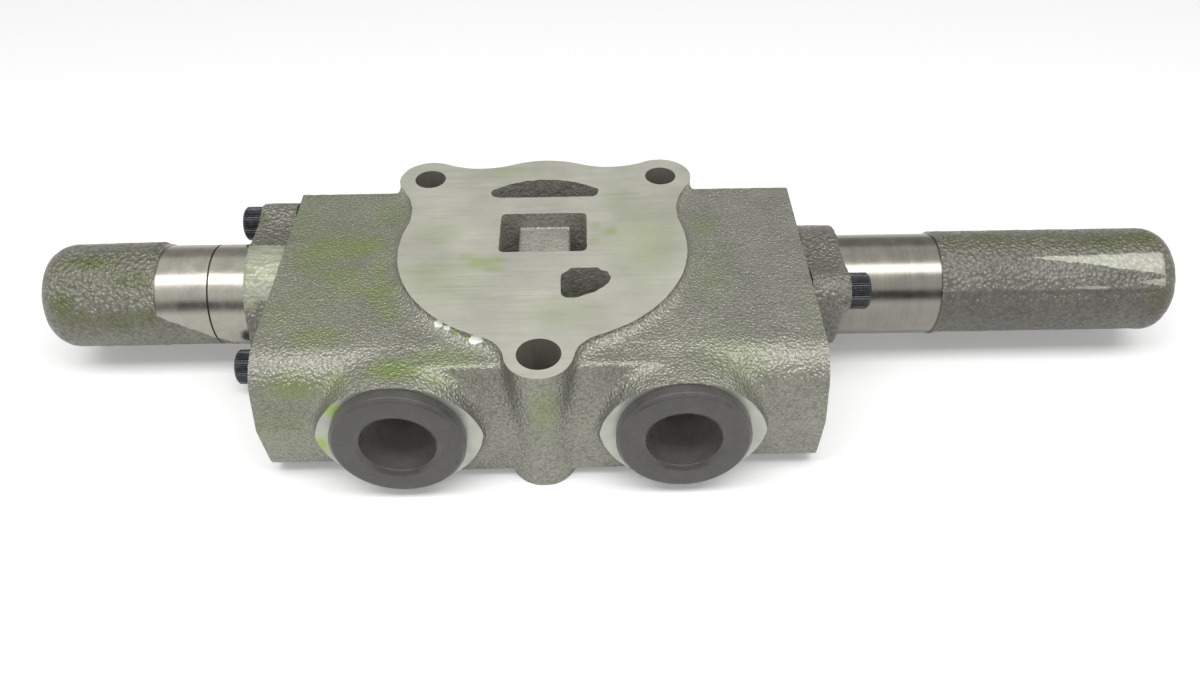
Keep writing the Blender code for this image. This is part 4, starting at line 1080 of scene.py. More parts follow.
def add_node(tree, kind, inputs, give=None, **settings):
    """Adds a node with its settings, and fills its inputs with values or other nodes' outputs.

    It gives the node, or the output that is asked for.
    """
    made = tree.nodes.new(kind)
    for key, value in settings.items():
        setattr(made, key, value)
    for key, value in inputs.items():
        if isinstance(value, bpy.types.NodeSocket):
            tree.links.new(value, made.inputs[key])
        else:
            made.inputs[key].default_value = value
    return made if give is None else made.outputs[give]


def start_finish(name):
    """An empty material with its nodes, and the piece's own coordinates."""
    made = bpy.data.materials.new(name)
    made.use_nodes = True
    tree = made.node_tree
    tree.nodes.clear()
    return made, tree, add_node(tree, "ShaderNodeTexCoord", {}, "Object")


def join_shader(made, look):
    """Closes a material with its shader, from the shader's inputs by name."""
    tree = made.node_tree
    shader = add_node(tree, "ShaderNodeBsdfPrincipled", look, "BSDF")
    add_node(tree, "ShaderNodeOutputMaterial", {"Surface": shader})
    return made


def close_finish(made, face, pattern, low, high, relief, depth, metallic=0.0):
    """Closes a material: its roughness runs from low to high along a pattern, over a fine relief.

    The relief's depth is in millimetres.
    """
    tree = made.node_tree
    run = {"Value": pattern, "From Min": 0.3, "From Max": 0.7, "To Min": low, "To Max": high}
    rough = add_node(tree, "ShaderNodeMapRange", run, "Result")
    raised = {"Height": relief, "Distance": depth * MM, "Strength": 0.5}
    bump = add_node(tree, "ShaderNodeBump", raised, "Normal")
    look = {"Base Color": face, "Roughness": rough, "Metallic": metallic, "Normal": bump}
    return join_shader(made, look)


def laid_over(tree, value, low, high, under, over, share=1.0):
    """Lays one colour over another as a value runs from low to high, up to a share of it."""
    run = {"Value": value, "From Min": low, "From Max": high, "To Max": share}
    mask = add_node(tree, "ShaderNodeMapRange", run, "Result")
    return add_node(tree, "ShaderNodeMix", {0: mask, 6: under, 7: over}, 2, data_type="RGBA")


def patches(tree, place, listed, breakup, edge, ragged_by):
    """A mask of ragged patches, from (centre, reach, strength) round the spool's axis.

    The reach is a patch's half size along each axis. An edge of 1 is soft and 0 is sharp.
    """
    noise = {"Vector": place, "Scale": per_mm(breakup), "Detail": 5.0, "Roughness": 0.65}
    ragged = add_node(tree, "ShaderNodeTexNoise", noise, "Fac")
    most = None
    for centre, reach, strength in listed:
        middle = {0: place, 1: TO_FRAME @ Vector(centre)}
        away = add_node(tree, "ShaderNodeVectorMath", middle, 0, operation="SUBTRACT")
        scaled = {0: away, 1: Vector(reach) * MM}
        away = add_node(tree, "ShaderNodeVectorMath", scaled, 0, operation="DIVIDE")
        away = add_node(tree, "ShaderNodeVectorMath", {0: away}, "Value", operation="LENGTH")
        fade = {"Value": away, "From Min": 1.15, "From Max": 0.35, "To Max": strength}
        near = add_node(tree, "ShaderNodeMapRange", fade, "Result")
        if most is None:
            most = near
        else:
            most = add_node(tree, "ShaderNodeMath", {0: most, 1: near}, 0, operation="MAXIMUM")
    tear = {0: ragged, 1: ragged_by, 2: 1.0 - ragged_by / 2}
    torn = add_node(tree, "ShaderNodeMath", tear, 0, operation="MULTIPLY_ADD")
    torn = add_node(tree, "ShaderNodeMath", {0: most, 1: torn}, 0, operation="MULTIPLY")
    half = max(edge, 0.04) / 2
    run = {"Value": torn, "From Min": 0.5 - half, "From Max": 0.5 + half}
    return add_node(tree, "ShaderNodeMapRange", run, "Result")


def panel(tree, place, sides):
    """A mask of one panel with ragged edges, from (point on a side, direction inwards)."""
    ragged = 0.6 * MM
    noise = {"Vector": place, "Scale": per_mm(2.2), "Detail": 5.0, "Roughness": 0.7}
    tear = add_node(tree, "ShaderNodeTexNoise", noise, "Fac")
    least = None
    for point, inwards in sides:
        start = {0: place, 1: TO_FRAME @ Vector(point)}
        away = add_node(tree, "ShaderNodeVectorMath", start, 0, operation="SUBTRACT")
        across = {0: away, 1: Vector(inwards)}
        depth = add_node(tree, "ShaderNodeVectorMath", across, "Value", operation="DOT_PRODUCT")
        if least is None:
            least = depth
        else:
            least = add_node(tree, "ShaderNodeMath", {0: least, 1: depth}, 0, operation="MINIMUM")
    moved = {0: tear, 1: 4 * ragged, 2: least}
    torn = add_node(tree, "ShaderNodeMath", moved, 0, operation="MULTIPLY_ADD")
    run = {"Value": torn, "From Min": 2 * ragged, "From Max": 2 * ragged + 0.2 * MM}
    return add_node(tree, "ShaderNodeMapRange", run, "Result")


# Shot-blasted grey iron under a film of oil: pebbled, glinting where a grain faces the lamp,
# with painted shade in the hollows between the grains and painted highlights on their tops,
# a thin veil of green paint drift, and pale places that are partly rubbed smooth and bare
# chips and partly painted highlights. Panels of it can be darkened with painted shade. The
# pebbles are clumps of the moulding sand's grains, near 1 mm across.
def cast_iron_skin(
    name,
    main,
    drift,
    wear_and_highlight,
    grain,
    depth,
    drifted,
    wear_and_highlight_places,
    panels=(),
    scored=0.0,
    painted_shade_panels=(),
    metallic=0.65,
):
    made, tree, place = start_finish(name)
    clouds = {"Vector": place, "Scale": per_mm(13.0), "Detail": 4.0}
    cloud = add_node(tree, "ShaderNodeTexNoise", clouds, "Fac")
    pebbles = {"Vector": place, "Scale": per_mm(grain), "Smoothness": 0.4}
    grains = add_node(tree, "ShaderNodeTexVoronoi", pebbles, "Distance", feature="SMOOTH_F1")
    grit = {"Vector": place, "Scale": per_mm(grain * 0.7), "Detail": 3.0, "Roughness": 0.6}
    crumbs = add_node(tree, "ShaderNodeTexNoise", grit, "Fac")
    height = add_node(tree, "ShaderNodeMath", {0: crumbs, 1: grains}, 0, operation="SUBTRACT")
    dark = shade(main, 0.45)
    skin = laid_over(tree, cloud, 0.36, 0.66, shade(main, 0.9), shade(main, 1.08))
    # Painted shade: the hollows between the grains are darkened.
    skin = laid_over(tree, height, 0.02, -0.3, skin, dark, share=0.4)
    # Painted highlight: the tops of the grains are lightened, as if they glinted.
    skin = laid_over(tree, height, 0.14, 0.42, skin, shade(main, 1.8), share=0.3)
    green = patches(tree, place, drifted, breakup=2.5, edge=1.0, ragged_by=1.0)
    skin = add_node(tree, "ShaderNodeMix", {0: green, 6: skin, 7: shade(drift)}, 2, data_type="RGBA")
    run = {"Value": height, "From Min": -0.2, "From Max": 0.3, "To Min": 0.44, "To Max": 0.2}
    rough = add_node(tree, "ShaderNodeMapRange", run, "Result")
    # Pale places: filed and rubbed patches and bare chips, with painted highlights along the body's front
    # edges and painted reflection on the long cap.
    smooth = patches(tree, place, wear_and_highlight_places, breakup=1.3, edge=0.12, ragged_by=2.2)
    for sides in panels:
        bare = panel(tree, place, sides)
        smooth = add_node(tree, "ShaderNodeMath", {0: smooth, 1: bare}, 0, operation="MAXIMUM")
    # Painted shade: each panel is darkened part way to the dark tone, for the long cap's lower half that
    # faces away from the lamp.
    for sides in painted_shade_panels:
        shade_share = {0: panel(tree, place, sides), 1: 0.42}
        painted_shade = add_node(tree, "ShaderNodeMath", shade_share, 0, operation="MULTIPLY")
        skin = add_node(tree, "ShaderNodeMix", {0: painted_shade, 6: skin, 7: dark}, 2, data_type="RGBA")
    pale = shade(wear_and_highlight)
    if scored:
        along = {"Vector": place, "Scale": (0.08, 1.0, 1.0)}
        drawn = add_node(tree, "ShaderNodeMapping", along, "Vector")
        scores = {"Vector": drawn, "Scale": per_mm(0.7), "Detail": 3.0}
        score = add_node(tree, "ShaderNodeTexNoise", scores, "Fac")
        pale = laid_over(tree, score, 0.4, 0.66, pale, shade(drift, 1.6), share=scored)
    skin = add_node(tree, "ShaderNodeMix", {0: smooth, 6: skin, 7: pale}, 2, data_type="RGBA")
    run = {"Value": smooth, "To Min": 1.0, "To Max": 0.25}
    kept = add_node(tree, "ShaderNodeMapRange", run, "Result")
    duller = {0: smooth, 1: 0.22, 2: rough}
    rough = add_node(tree, "ShaderNodeMath", duller, 0, operation="MULTIPLY_ADD")
    height = add_node(tree, "ShaderNodeMath", {0: height, 1: kept}, 0, operation="MULTIPLY")
    raised = {"Height": height, "Distance": depth * MM, "Strength": 1.0}
    bump = add_node(tree, "ShaderNodeBump", raised, "Normal")
    look = {"Base Color": skin, "Roughness": rough, "Metallic": metallic, "Normal": bump}
    return join_shader(made, look)


# Surface-ground iron: flat and satin, with fine straight lines along X left by the wheel.
# The real lines lie about 0.1 mm apart. They are drawn coarser, so that they show.
def ground_iron(name, main, drift):
    made, tree, place = start_finish(name)
    along = {"Vector": place, "Scale": (0.03, 1.0, 1.0)}
    drawn = add_node(tree, "ShaderNodeMapping", along, "Vector")
    marks = {"Vector": drawn, "Scale": per_mm(0.6), "Detail": 3.0}
    lines = add_node(tree, "ShaderNodeTexNoise", marks, "Fac")
    clouds = {"Vector": place, "Scale": per_mm(20.0), "Detail": 4.0, "Roughness": 0.55}
    cloud = add_node(tree, "ShaderNodeTexNoise", clouds, "Fac")
    face = laid_over(tree, cloud, 0.34, 0.66, shade(main, 0.86), shade(main, 1.06))
    face = laid_over(tree, lines, 0.52, 0.36, face, shade(main, 0.5), share=0.14)
    smudge = patches(tree, place, PAD_SMUDGES, breakup=3.0, edge=1.0, ragged_by=0.8)
    green = shade(drift, 1.5)
    face = add_node(tree, "ShaderNodeMix", {0: smudge, 6: face, 7: green}, 2, data_type="RGBA")
    return close_finish(made, face, lines, 0.36, 0.48, lines, depth=0.02, metallic=0.6)


# Iron faced on a mill or lathe: pale and silky, with faint rings round each port. The rings
# of the feed, about 0.2 mm apart, are drawn coarser, so that they show.
def faced_iron(name, main, drift):
    made, tree, place = start_finish(name)
    split = add_node(tree, "ShaderNodeSeparateXYZ", {"Vector": place})
    across = add_node(tree, "ShaderNodeMath", {0: split.outputs["X"]}, 0, operation="ABSOLUTE")
    across = add_node(tree, "ShaderNodeMath", {0: across, 1: PORT_X * MM}, 0, operation="SUBTRACT")
    level = {0: split.outputs["Z"], 1: AXIS_Z}
    above = add_node(tree, "ShaderNodeMath", level, 0, operation="SUBTRACT")
    flat = add_node(tree, "ShaderNodeCombineXYZ", {0: across, 1: above}, 0)
    away = add_node(tree, "ShaderNodeVectorMath", {0: flat}, "Value", operation="LENGTH")
    radius = add_node(tree, "ShaderNodeCombineXYZ", {0: away}, 0)
    feed = {"Vector": radius, "Scale": per_mm(0.45), "Detail": 2.0}
    rings = add_node(tree, "ShaderNodeTexNoise", feed, "Fac")
    clouds = {"Vector": place, "Scale": per_mm(7.0), "Detail": 4.0}
    cloud = add_node(tree, "ShaderNodeTexNoise", clouds, "Fac")
    face = laid_over(tree, cloud, 0.36, 0.66, shade(main, 0.8), shade(main))
    drips = patches(tree, place, PORT_DRIFT, breakup=2.0, edge=0.8, ragged_by=1.2)
    green = shade(drift, 1.8)
    face = add_node(tree, "ShaderNodeMix", {0: drips, 6: face, 7: green}, 2, data_type="RGBA")
    return close_finish(made, face, rings, 0.36, 0.5, rings, depth=0.03, metallic=0.5)


# Turned iron or steel: bright, with fine rings round the spool's axis from the tool's feed.
# A feed of 0.1 mm to 0.2 mm is drawn coarser, so that it shows.
def turned_metal(name, main, roughness, feed, depth, contrast, metallic=0.95):
    made, tree, place = start_finish(name)
    along = {"Vector": place, "Scale": (1.0, 0.01, 0.01)}
    drawn = add_node(tree, "ShaderNodeMapping", along, "Vector")
    marks = {"Vector": drawn, "Scale": per_mm(feed), "Detail": 3.0}
    rings = add_node(tree, "ShaderNodeTexNoise", marks, "Fac")
    clouds = {"Vector": place, "Scale": per_mm(6.0), "Detail": 5.0, "Roughness": 0.6}
    cloud = add_node(tree, "ShaderNodeTexNoise", clouds, "Fac")
    face = laid_over(tree, cloud, 0.36, 0.66, shade(main, 0.86), shade(main, 1.04))
    face = laid_over(tree, rings, 0.52, 0.34, face, shade(main, 0.5), share=contrast)
    low = roughness - 0.04
    high = roughness + 0.06
    return close_finish(made, face, cloud, low, high, rings, depth, metallic)


# Black oxide on steel: near black and satin, worn a little paler in patches.
def black_oxide(name, main):
    made, tree, place = start_finish(name)
    rubs = {"Vector": place, "Scale": per_mm(2.0), "Detail": 4.0, "Roughness": 0.65}
    wear = add_node(tree, "ShaderNodeTexNoise", rubs, "Fac")
    face = laid_over(tree, wear, 0.48, 0.72, shade(main), shade(main, 2.2))
    return close_finish(made, face, wear, 0.2, 0.36, wear, depth=0.03, metallic=0.6)


# Injection-moulded polyethylene: dark grey, soft satin, with a faint orange peel and dust specks, and
# painted light inside the cups.
def moulded_plastic(name, main):
    made, tree, place = start_finish(name)
    ripples = {"Vector": place, "Scale": per_mm(1.0), "Detail": 3.0}
    peel = add_node(tree, "ShaderNodeTexNoise", ripples, "Fac")
    specks = {"Vector": place, "Scale": per_mm(5.0), "Detail": 6.0, "Roughness": 0.7}
    dust = add_node(tree, "ShaderNodeTexNoise", specks, "Fac")
    face = laid_over(tree, dust, 0.45, 0.75, shade(main), shade(main, 1.7), share=0.5)
    # Painted light: the inside of each cup is lightened where little light reaches.
    painted_light = patches(tree, place, CUP_PAINTED_LIGHT, breakup=5.0, edge=1.0, ragged_by=0.4)
    pale = shade(main, 6.0)
    face = add_node(tree, "ShaderNodeMix", {0: painted_light, 6: face, 7: pale}, 2, data_type="RGBA")
    return close_finish(made, face, dust, 0.22, 0.38, peel, depth=0.04)


# Nitrile rubber: black, matt, with mould texture, drawn coarser than it is, so that it shows.
def nitrile(name, main):
    made, tree, place = start_finish(name)
    texture = {"Vector": place, "Scale": per_mm(0.6), "Detail": 3.0}
    grain = add_node(tree, "ShaderNodeTexNoise", texture, "Fac")
    shades = {0: grain, 6: shade(main), 7: shade(main, 1.8)}
    face = add_node(tree, "ShaderNodeMix", shades, 2, data_type="RGBA")
    raised = {"Height": grain, "Distance": 0.03 * MM, "Strength": 0.5}
    bump = add_node(tree, "ShaderNodeBump", raised, "Normal")
    return join_shader(made, {"Base Color": face, "Roughness": 0.62, "Normal": bump})


# Oil-tempered spring wire: dark grey and satin, with an oily, slightly blotched scale.
def spring_wire(name, main):
    made, tree, place = start_finish(name)
    blotches = {"Vector": place, "Scale": per_mm(0.8), "Detail": 4.0, "Roughness": 0.65}
    scale = add_node(tree, "ShaderNodeTexNoise", blotches, "Fac")
    shades = {0: scale, 6: shade(main), 7: shade(main, 0.45)}
    face = add_node(tree, "ShaderNodeMix", shades, 2, data_type="RGBA")
    return close_finish(made, face, scale, 0.28, 0.44, scale, depth=0.02, metallic=0.9)


# Paint drift, smudges, chips, rubbed places, painted highlights and painted light in the plugs' cups, as
# (centre, reach, strength) round the spool's axis
BODY_DRIFT = (
    ((-73.0, -3.0, 21.2), (13.0, 10.0, 4.0), 0.62),
    ((-64.0, -2.0, 21.2), (13.0, 8.5, 4.0), 0.66),
    ((-58.0, -1.0, 21.2), (8.0, 6.5, 4.0), 0.68),
    ((-76.0, -11.0, 21.2), (10.0, 8.0, 4.0), 0.5),
    ((-65.0, -17.0, 21.2), (12.0, 8.0, 4.0), 0.5),
    ((-60.0, -24.0, 21.2), (9.0, 6.0, 4.0), 0.5),
    ((-53.5, -15.0, 21.2), (4.5, 9.0, 4.0), 0.45),
    ((-51.0, -26.0, 21.2), (7.0, 9.0, 4.0), 0.62),
    ((-47.5, -35.0, 21.2), (5.0, 8.0, 4.0), 0.42),
    ((-81.0, -36.0, 21.2), (9.0, 10.0, 4.0), 0.32),
    ((-68.0, -46.0, 21.2), (12.0, 6.5, 4.0), 0.5),
    ((-75.0, -30.0, 21.2), (16.0, 16.0, 4.0), 0.24),
    ((-55.0, 16.0, 21.2), (9.0, 14.0, 4.0), 0.36),
    ((-84.0, 14.0, 21.2), (7.0, 16.0, 4.0), 0.34),
    ((-70.0, 10.0, 21.2), (30.0, 22.0, 4.0), 0.2),
    ((-73.0, -62.0, 15.0), (12.0, 5.0, 7.0), 0.55),
    ((-42.0, -60.5, 19.5), (11.0, 6.0, 4.5), 0.78),
    ((-34.0, -62.0, 16.0), (10.0, 5.0, 6.0), 0.5),
    ((-28.0, -56.0, 20.8), (14.0, 5.0, 3.0), 0.45),
    ((-60.0, -62.0, 16.0), (9.0, 5.0, 6.0), 0.4),
    ((-79.0, -65.0, 0.0), (12.0, 6.0, 14.0), 0.26),
    ((1.0, -67.0, 10.0), (5.5, 5.0, 12.0), 0.42),
    ((-24.4, -46.6, 22.3), (1.7, 1.2, 1.6), 1.5),
    ((-20.6, -49.0, 22.3), (2.2, 1.2, 1.6), 1.5),
    ((54.0, 7.0, 21.2), (5.0, 6.0, 4.0), 0.4),
    ((54.0, -18.0, 21.2), (9.0, 18.0, 4.0), 0.22),
    ((56.0, -56.0, 18.0), (14.0, 12.0, 8.0), 0.24),
    ((86.0, -40.0, 0.0), (5.0, 24.0, 24.0), 0.2),
)
# Bare chips on the pad's rim, partly painted glints, then painted highlight lines along the body's front
# edges.
BODY_CHIPS_AND_HIGHLIGHTS = (
    ((-29.8, -42.4, 22.4), (3.0, 1.9, 1.8), 1.5),
    ((-26.8, -44.3, 22.4), (2.6, 1.8, 1.8), 1.5),
    ((-22.6, -46.8, 22.4), (1.5, 1.3, 1.6), 1.3),
    ((-18.6, -50.0, 22.4), (3.2, 1.6, 1.8), 1.5),
    ((-23.0, -61.7, 20.9), (14.0, 1.1, 1.0), 1.5),
    ((19.0, -62.7, 20.9), (13.0, 1.0, 0.8), 1.0),
)
PAD_SMUDGES = (
    ((-20.0, -15.0, 23.8), (7.0, 4.0, 3.0), 0.6),
    ((-15.2, -13.5, 23.8), (4.5, 2.2, 3.0), 0.5),
    ((-16.0, -18.0, 23.8), (4.5, 2.2, 3.0), 0.5),
    ((-24.5, -12.0, 23.8), (4.0, 3.0, 3.0), 0.4),
    ((-35.0, 2.0, 23.8), (9.0, 9.0, 3.0), 0.22),
    ((-37.0, -21.0, 23.8), (9.0, 9.0, 3.0), 0.24),
    ((-29.0, -24.0, 23.8), (16.0, 14.0, 3.0), 0.2),
    ((17.4, 4.5, 23.8), (2.6, 3.0, 3.0), 0.34),
    ((22.8, 1.4, 23.8), (3.4, 3.2, 3.0), 0.5),
    ((17.0, -4.2, 23.8), (3.0, 2.6, 3.0), 0.34),
    ((26.0, 19.0, 23.8), (7.0, 12.0, 3.0), 0.2),
    ((34.0, -5.0, 23.8), (14.0, 24.0, 3.0), 0.3),
    ((-13.0, 37.0, 23.8), (12.0, 5.0, 3.0), 0.24),
    ((6.0, -40.0, 23.8), (14.0, 8.0, 3.0), 0.2),
)
PORT_DRIFT = (
    ((-67.3, -68.0, -3.4), (3.4, 5.0, 4.5), 1.0),
    ((-61.0, -68.0, 11.5), (4.5, 5.0, 4.0), 0.9),
    ((-33.0, -68.0, 20.0), (12.0, 5.0, 4.0), 0.5),
)
# Painted light inside the two plugs' cups.
CUP_PAINTED_LIGHT = (
    ((-PORT_X, -58.0, 0.0), (17.0, 15.0, 17.0), 0.9),
    ((PORT_X, -58.0, 0.0), (17.0, 15.0, 17.0), 0.9),
)
SHORT_CAP_DRIFT = (
    ((-152.0, -3.5, 17.2), (12.0, 4.0, 4.0), 0.75),
    ((-158.7, -4.3, 17.1), (6.0, 4.0, 4.0), 0.5),
    ((-137.0, -9.5, 14.8), (9.0, 4.0, 4.0), 0.5),
    ((-160.0, -15.0, 9.0), (5.0, 4.0, 7.0), 0.7),
    ((-157.0, -16.5, 5.0), (8.0, 4.0, 4.0), 0.5),
    ((-142.0, -17.3, 3.0), (12.0, 4.0, 4.0), 0.5),
    ((-133.4, -16.8, 5.2), (5.0, 4.0, 3.0), 0.5),
    ((-150.0, -4.0, 15.0), (26.0, 12.0, 7.0), 0.2),
    ((-98.0, 15.0, 20.0), (3.0, 4.0, 4.0), 0.5),
    ((-97.0, -2.5, 21.0), (3.0, 2.6, 2.0), 0.7),
)
SHORT_CAP_RUBBED = (
    ((-97.0, -18.3, 10.0), (3.6, 2.0, 2.4), 0.9),
)
SHORT_CAP_PANELS = (
    (
        ((-99.8, 0.0, 0.0), (1.0, 0.0, 0.0)),
        ((0.0, 0.4, 20.9), (0.0, -1.0, 0.0)),
        ((0.0, -17.6, 11.4), (0.0, 0.545, 0.839)),
    ),
)
LONG_CAP_DRIFT = (
    ((141.0, 0.0, 17.6), (8.0, 6.0, 4.0), 0.4),
    ((152.0, 3.0, 17.4), (10.0, 6.0, 4.0), 0.6),
    ((175.0, 5.0, 16.5), (14.0, 5.0, 4.0), 0.45),
    ((190.0, -1.0, 17.6), (10.0, 4.5, 4.0), 0.7),
    ((203.0, 1.0, 17.4), (11.0, 6.0, 6.0), 0.7),
    ((170.0, 0.0, 17.6), (40.0, 6.0, 4.0), 0.3),
    ((212.0, -6.0, 12.0), (4.0, 8.0, 8.0), 0.5),
    ((207.0, -16.0, 6.0), (7.0, 5.0, 8.0), 0.3),
)
# Thin pale lines on the long cap's nose, worn smooth and partly a painted reflection of the lamp.
LONG_CAP_WORN_LINES_AND_REFLECTION = (
    ((184.0, -15.0, 9.3), (9.0, 0.6, 0.9), 1.0),
    ((171.0, -7.0, 16.0), (8.0, 0.6, 1.0), 1.0),
)
# Patches of the long cap's nose rubbed smooth and painted pale, partly as a painted reflection of the
# lamp.
LONG_CAP_WORN_PATCHES_AND_REFLECTION = (
    (
        ((167.0, -7.0, 16.2), (0.03, -0.906, -0.423)),
        ((167.0, -7.6, 15.9), (0.152, 0.906, 0.423)),
        ((208.5, 0.0, 0.0), (-1.0, 0.0, 0.0)),
    ),
    (
        ((195.8, -14.3, 10.6), (0.132, -0.643, -0.766)),
        ((196.5, -13.8, 10.9), (0.185, 0.643, 0.766)),
        ((208.5, 0.0, 0.0), (-1.0, 0.0, 0.0)),
    ),
)
# Painted shade on the lower front half of the long cap's nose, past its turned barrel.
LONG_CAP_LOWER_HALF = (
    (
        ((0.0, 0.0, 0.0), (0.0, -0.5, -0.866)),
        ((133.0, 0.0, 0.0), (1.0, 0.0, 0.0)),
    ),
)


CAP_GRAIN = {"grain": 1.35, "depth": 0.62}
TURNING = {"feed": 0.5, "depth": 0.012}

# Each finish with the colours that it takes and its settings, in millimetres.
# No drift, chip or painted highlight reaches the cored walls, so theirs lie outside them.
FINISHES = {
    "shot_blasted_iron": (
        cast_iron_skin,
        ("skin", "paint_drift", "wear_and_highlight"),
        {"grain": 0.95, "depth": 0.3, "drifted": BODY_DRIFT, "wear_and_highlight_places": BODY_CHIPS_AND_HIGHLIGHTS},
    ),
    "short_cap_cast_iron": (
        cast_iron_skin,
        ("short_skin", "cap_drift", "rubbed_cap"),
        {
            **CAP_GRAIN,
            "drifted": SHORT_CAP_DRIFT,
            "wear_and_highlight_places": SHORT_CAP_RUBBED,
            "panels": SHORT_CAP_PANELS,
            "scored": 0.6,
        },
    ),
    "long_cap_cast_iron": (
        cast_iron_skin,
        ("long_skin", "cap_drift", "rubbed_cap"),
        {
            **CAP_GRAIN,
            "drifted": LONG_CAP_DRIFT,
            "wear_and_highlight_places": LONG_CAP_WORN_LINES_AND_REFLECTION,
            "panels": LONG_CAP_WORN_PATCHES_AND_REFLECTION,
            "painted_shade_panels": LONG_CAP_LOWER_HALF,
        },
    ),
    "cored_iron": (
        cast_iron_skin,
        ("core", "core", "core"),
        {
            "grain": 1.1,
            "depth": 0.2,
            "drifted": BODY_DRIFT[-1:],
            "wear_and_highlight_places": BODY_CHIPS_AND_HIGHLIGHTS[-1:],
            "metallic": 0.2,
        },
    ),
    "ground_iron": (ground_iron, ("ground", "paint_drift"), {}),
    "faced_iron": (faced_iron, ("faced", "paint_drift"), {}),
    "turned_iron": (turned_metal, ("turned",), {**TURNING, "roughness": 0.26, "contrast": 0.14}),
    "oily_turned_iron": (
        turned_metal,
        ("oily_turned",),
        {**TURNING, "roughness": 0.21, "contrast": 0.2},
    ),
    "scribed_iron": (turned_metal, ("scribed",), {**TURNING, "roughness": 0.5, "contrast": 0.14}),
    "bored_iron": (
        turned_metal,
        ("bored",),
        {"roughness": 0.42, "feed": 0.6, "depth": 0.03, "contrast": 0.3, "metallic": 0.2},
    ),
    "ground_steel": (
        turned_metal,
        ("steel",),
        {"roughness": 0.2, "feed": 0.35, "depth": 0.006, "contrast": 0.08},
    ),
    "black_oxide_steel": (black_oxide, ("oxide",), {}),
    "moulded_polyethylene": (moulded_plastic, ("plastic",), {}),
    "nitrile_rubber": (nitrile, ("rubber",), {}),
    "oil_tempered_wire": (spring_wire, ("wire",), {}),
}


def finish(name):
    """A finish by name, made from the scene's colours when it is first used."""
    found = bpy.data.materials.get(name)
    if found:
        return found
    maker, colours, settings = FINISHES[name]
    chosen = bpy.context.scene.valve_finishes
    return maker(name, *(getattr(chosen, colour_name) for colour_name in colours), **settings)


def colour(title, text, code):
    """A colour that a user can change."""
    return bpy.props.FloatVectorProperty(
        name=title,
        description=text,
        subtype="COLOR",
        size=3,
        min=0.0,
        max=1.0,
        default=linear(code),
    )


def length(title, text, default):
    """A size that a user can change, in metres."""
    return bpy.props.FloatProperty(
        name=title, description=text, default=default, unit="LENGTH", precision=5
    )


class ValveFinishes(bpy.types.PropertyGroup):
    """Colours of the finishes."""

    skin: colour("Body skin", "Body's cast skin", "#919186")
    short_skin: colour("Short cap's skin", "Short cap's cast skin", "#7E7D73")
    long_skin: colour("Long cap's skin", "Long cap's cast skin", "#7A7870")
    # Pale colour of the body's bare chips and its painted edge highlights.
    wear_and_highlight: colour("Rubbed skin", "Bright chips and edges on the body", "#E2E4DC")
    # Pale colour of the caps' filed and rubbed places. On the long cap it is partly a painted reflection.
    rubbed_cap: colour("Rubbed cap skin", "Smooth pale places on the caps", "#A6A79B")
    paint_drift: colour("Paint drift", "Green paint drift on the body", "#7F9050")
    cap_drift: colour("Cap paint drift", "Olive paint drift on the caps", "#5E6638")
    # Painted light: the cored walls are paler than the same iron outside, so the deep galleries stay
    # lighter than their shade would leave them.
    core: colour("Cored walls", "Walls left by the sand cores", "#A2A097")
    ground: colour("Ground iron", "Stack faces", "#C7C7BA")
    faced: colour("Faced iron", "Port faces and end faces", "#C4C5BB")
    turned: colour("Turned iron", "Short cap's barrel", "#A6A399")
    oily_turned: colour("Oily turned iron", "Long cap's barrel", "#8C8A81")
    scribed: colour("Scribed line", "Line round the short cap's barrel", "#4A4943")
    bored: colour("Bored iron", "Bores and drilled holes", "#8E8D82")
    steel: colour("Ground steel", "Spool, seats and rod", "#C4C4C0")
    oxide: colour("Black oxide", "Cap screws", "#35363A")
    plastic: colour("Plug plastic", "Shipping plugs", "#4B4A48")
    rubber: colour("Rubber", "Seals", "#17171A")
    wire: colour("Spring wire", "Springs", "#7C7C7A")


class ValveCasting(bpy.types.PropertyGroup):
    """How fine and how uneven the castings are."""

    grid: length("Body grid", "Grid that the body's solids are joined on", 0.001)
    cap_grid: length("Cap grid", "Grid that the caps' solids are joined on", 0.0008)
    unevenness: length("Unevenness", "Height of the waves in the cast skin", 0.0003)
    wave: length("Wave", "Size of the waves in the cast skin", 0.004)
    fillet_rounds: bpy.props.IntProperty(
        name="Fillets", description="Rounds of smoothing that fill the hollows", default=22, min=0
    )


class ValveStage(bpy.types.PropertyGroup):
    """Camera, lamps and floor."""

    camera_place: bpy.props.FloatVectorProperty(
        name="Camera place",
        description="Where the camera stands",
        subtype="TRANSLATION",
        unit="LENGTH",
        default=(0.01562, -0.30968, 0.25303),
    )
    pitch: bpy.props.FloatProperty(
        name="Pitch", description="How far the camera looks down", unit="ROTATION", default=radians(42.51)
    )
    yaw: bpy.props.FloatProperty(
        name="Yaw", description="How far it turns to the right", unit="ROTATION", default=radians(0.64)
    )
    roll: bpy.props.FloatProperty(
        name="Roll", description="How far it leans", unit="ROTATION", default=radians(-0.52)
    )
    lens: bpy.props.FloatProperty(name="Lens", description="Focal length", unit="CAMERA", default=30.6)
    lamp_power: bpy.props.FloatProperty(
        name="Lamp power", description="Power of the overhead lamp", unit="POWER", default=11.5
    )
    floor: colour("Floor", "Pale floor", "#F4F4F4")
    front_card: colour("Front card", "Dark card that the fronts of the barrels mirror", "#2C2C2A")
    back_card: colour("Back card", "Grey card that the backs of the barrels mirror", "#A8A8A4")


# Operators

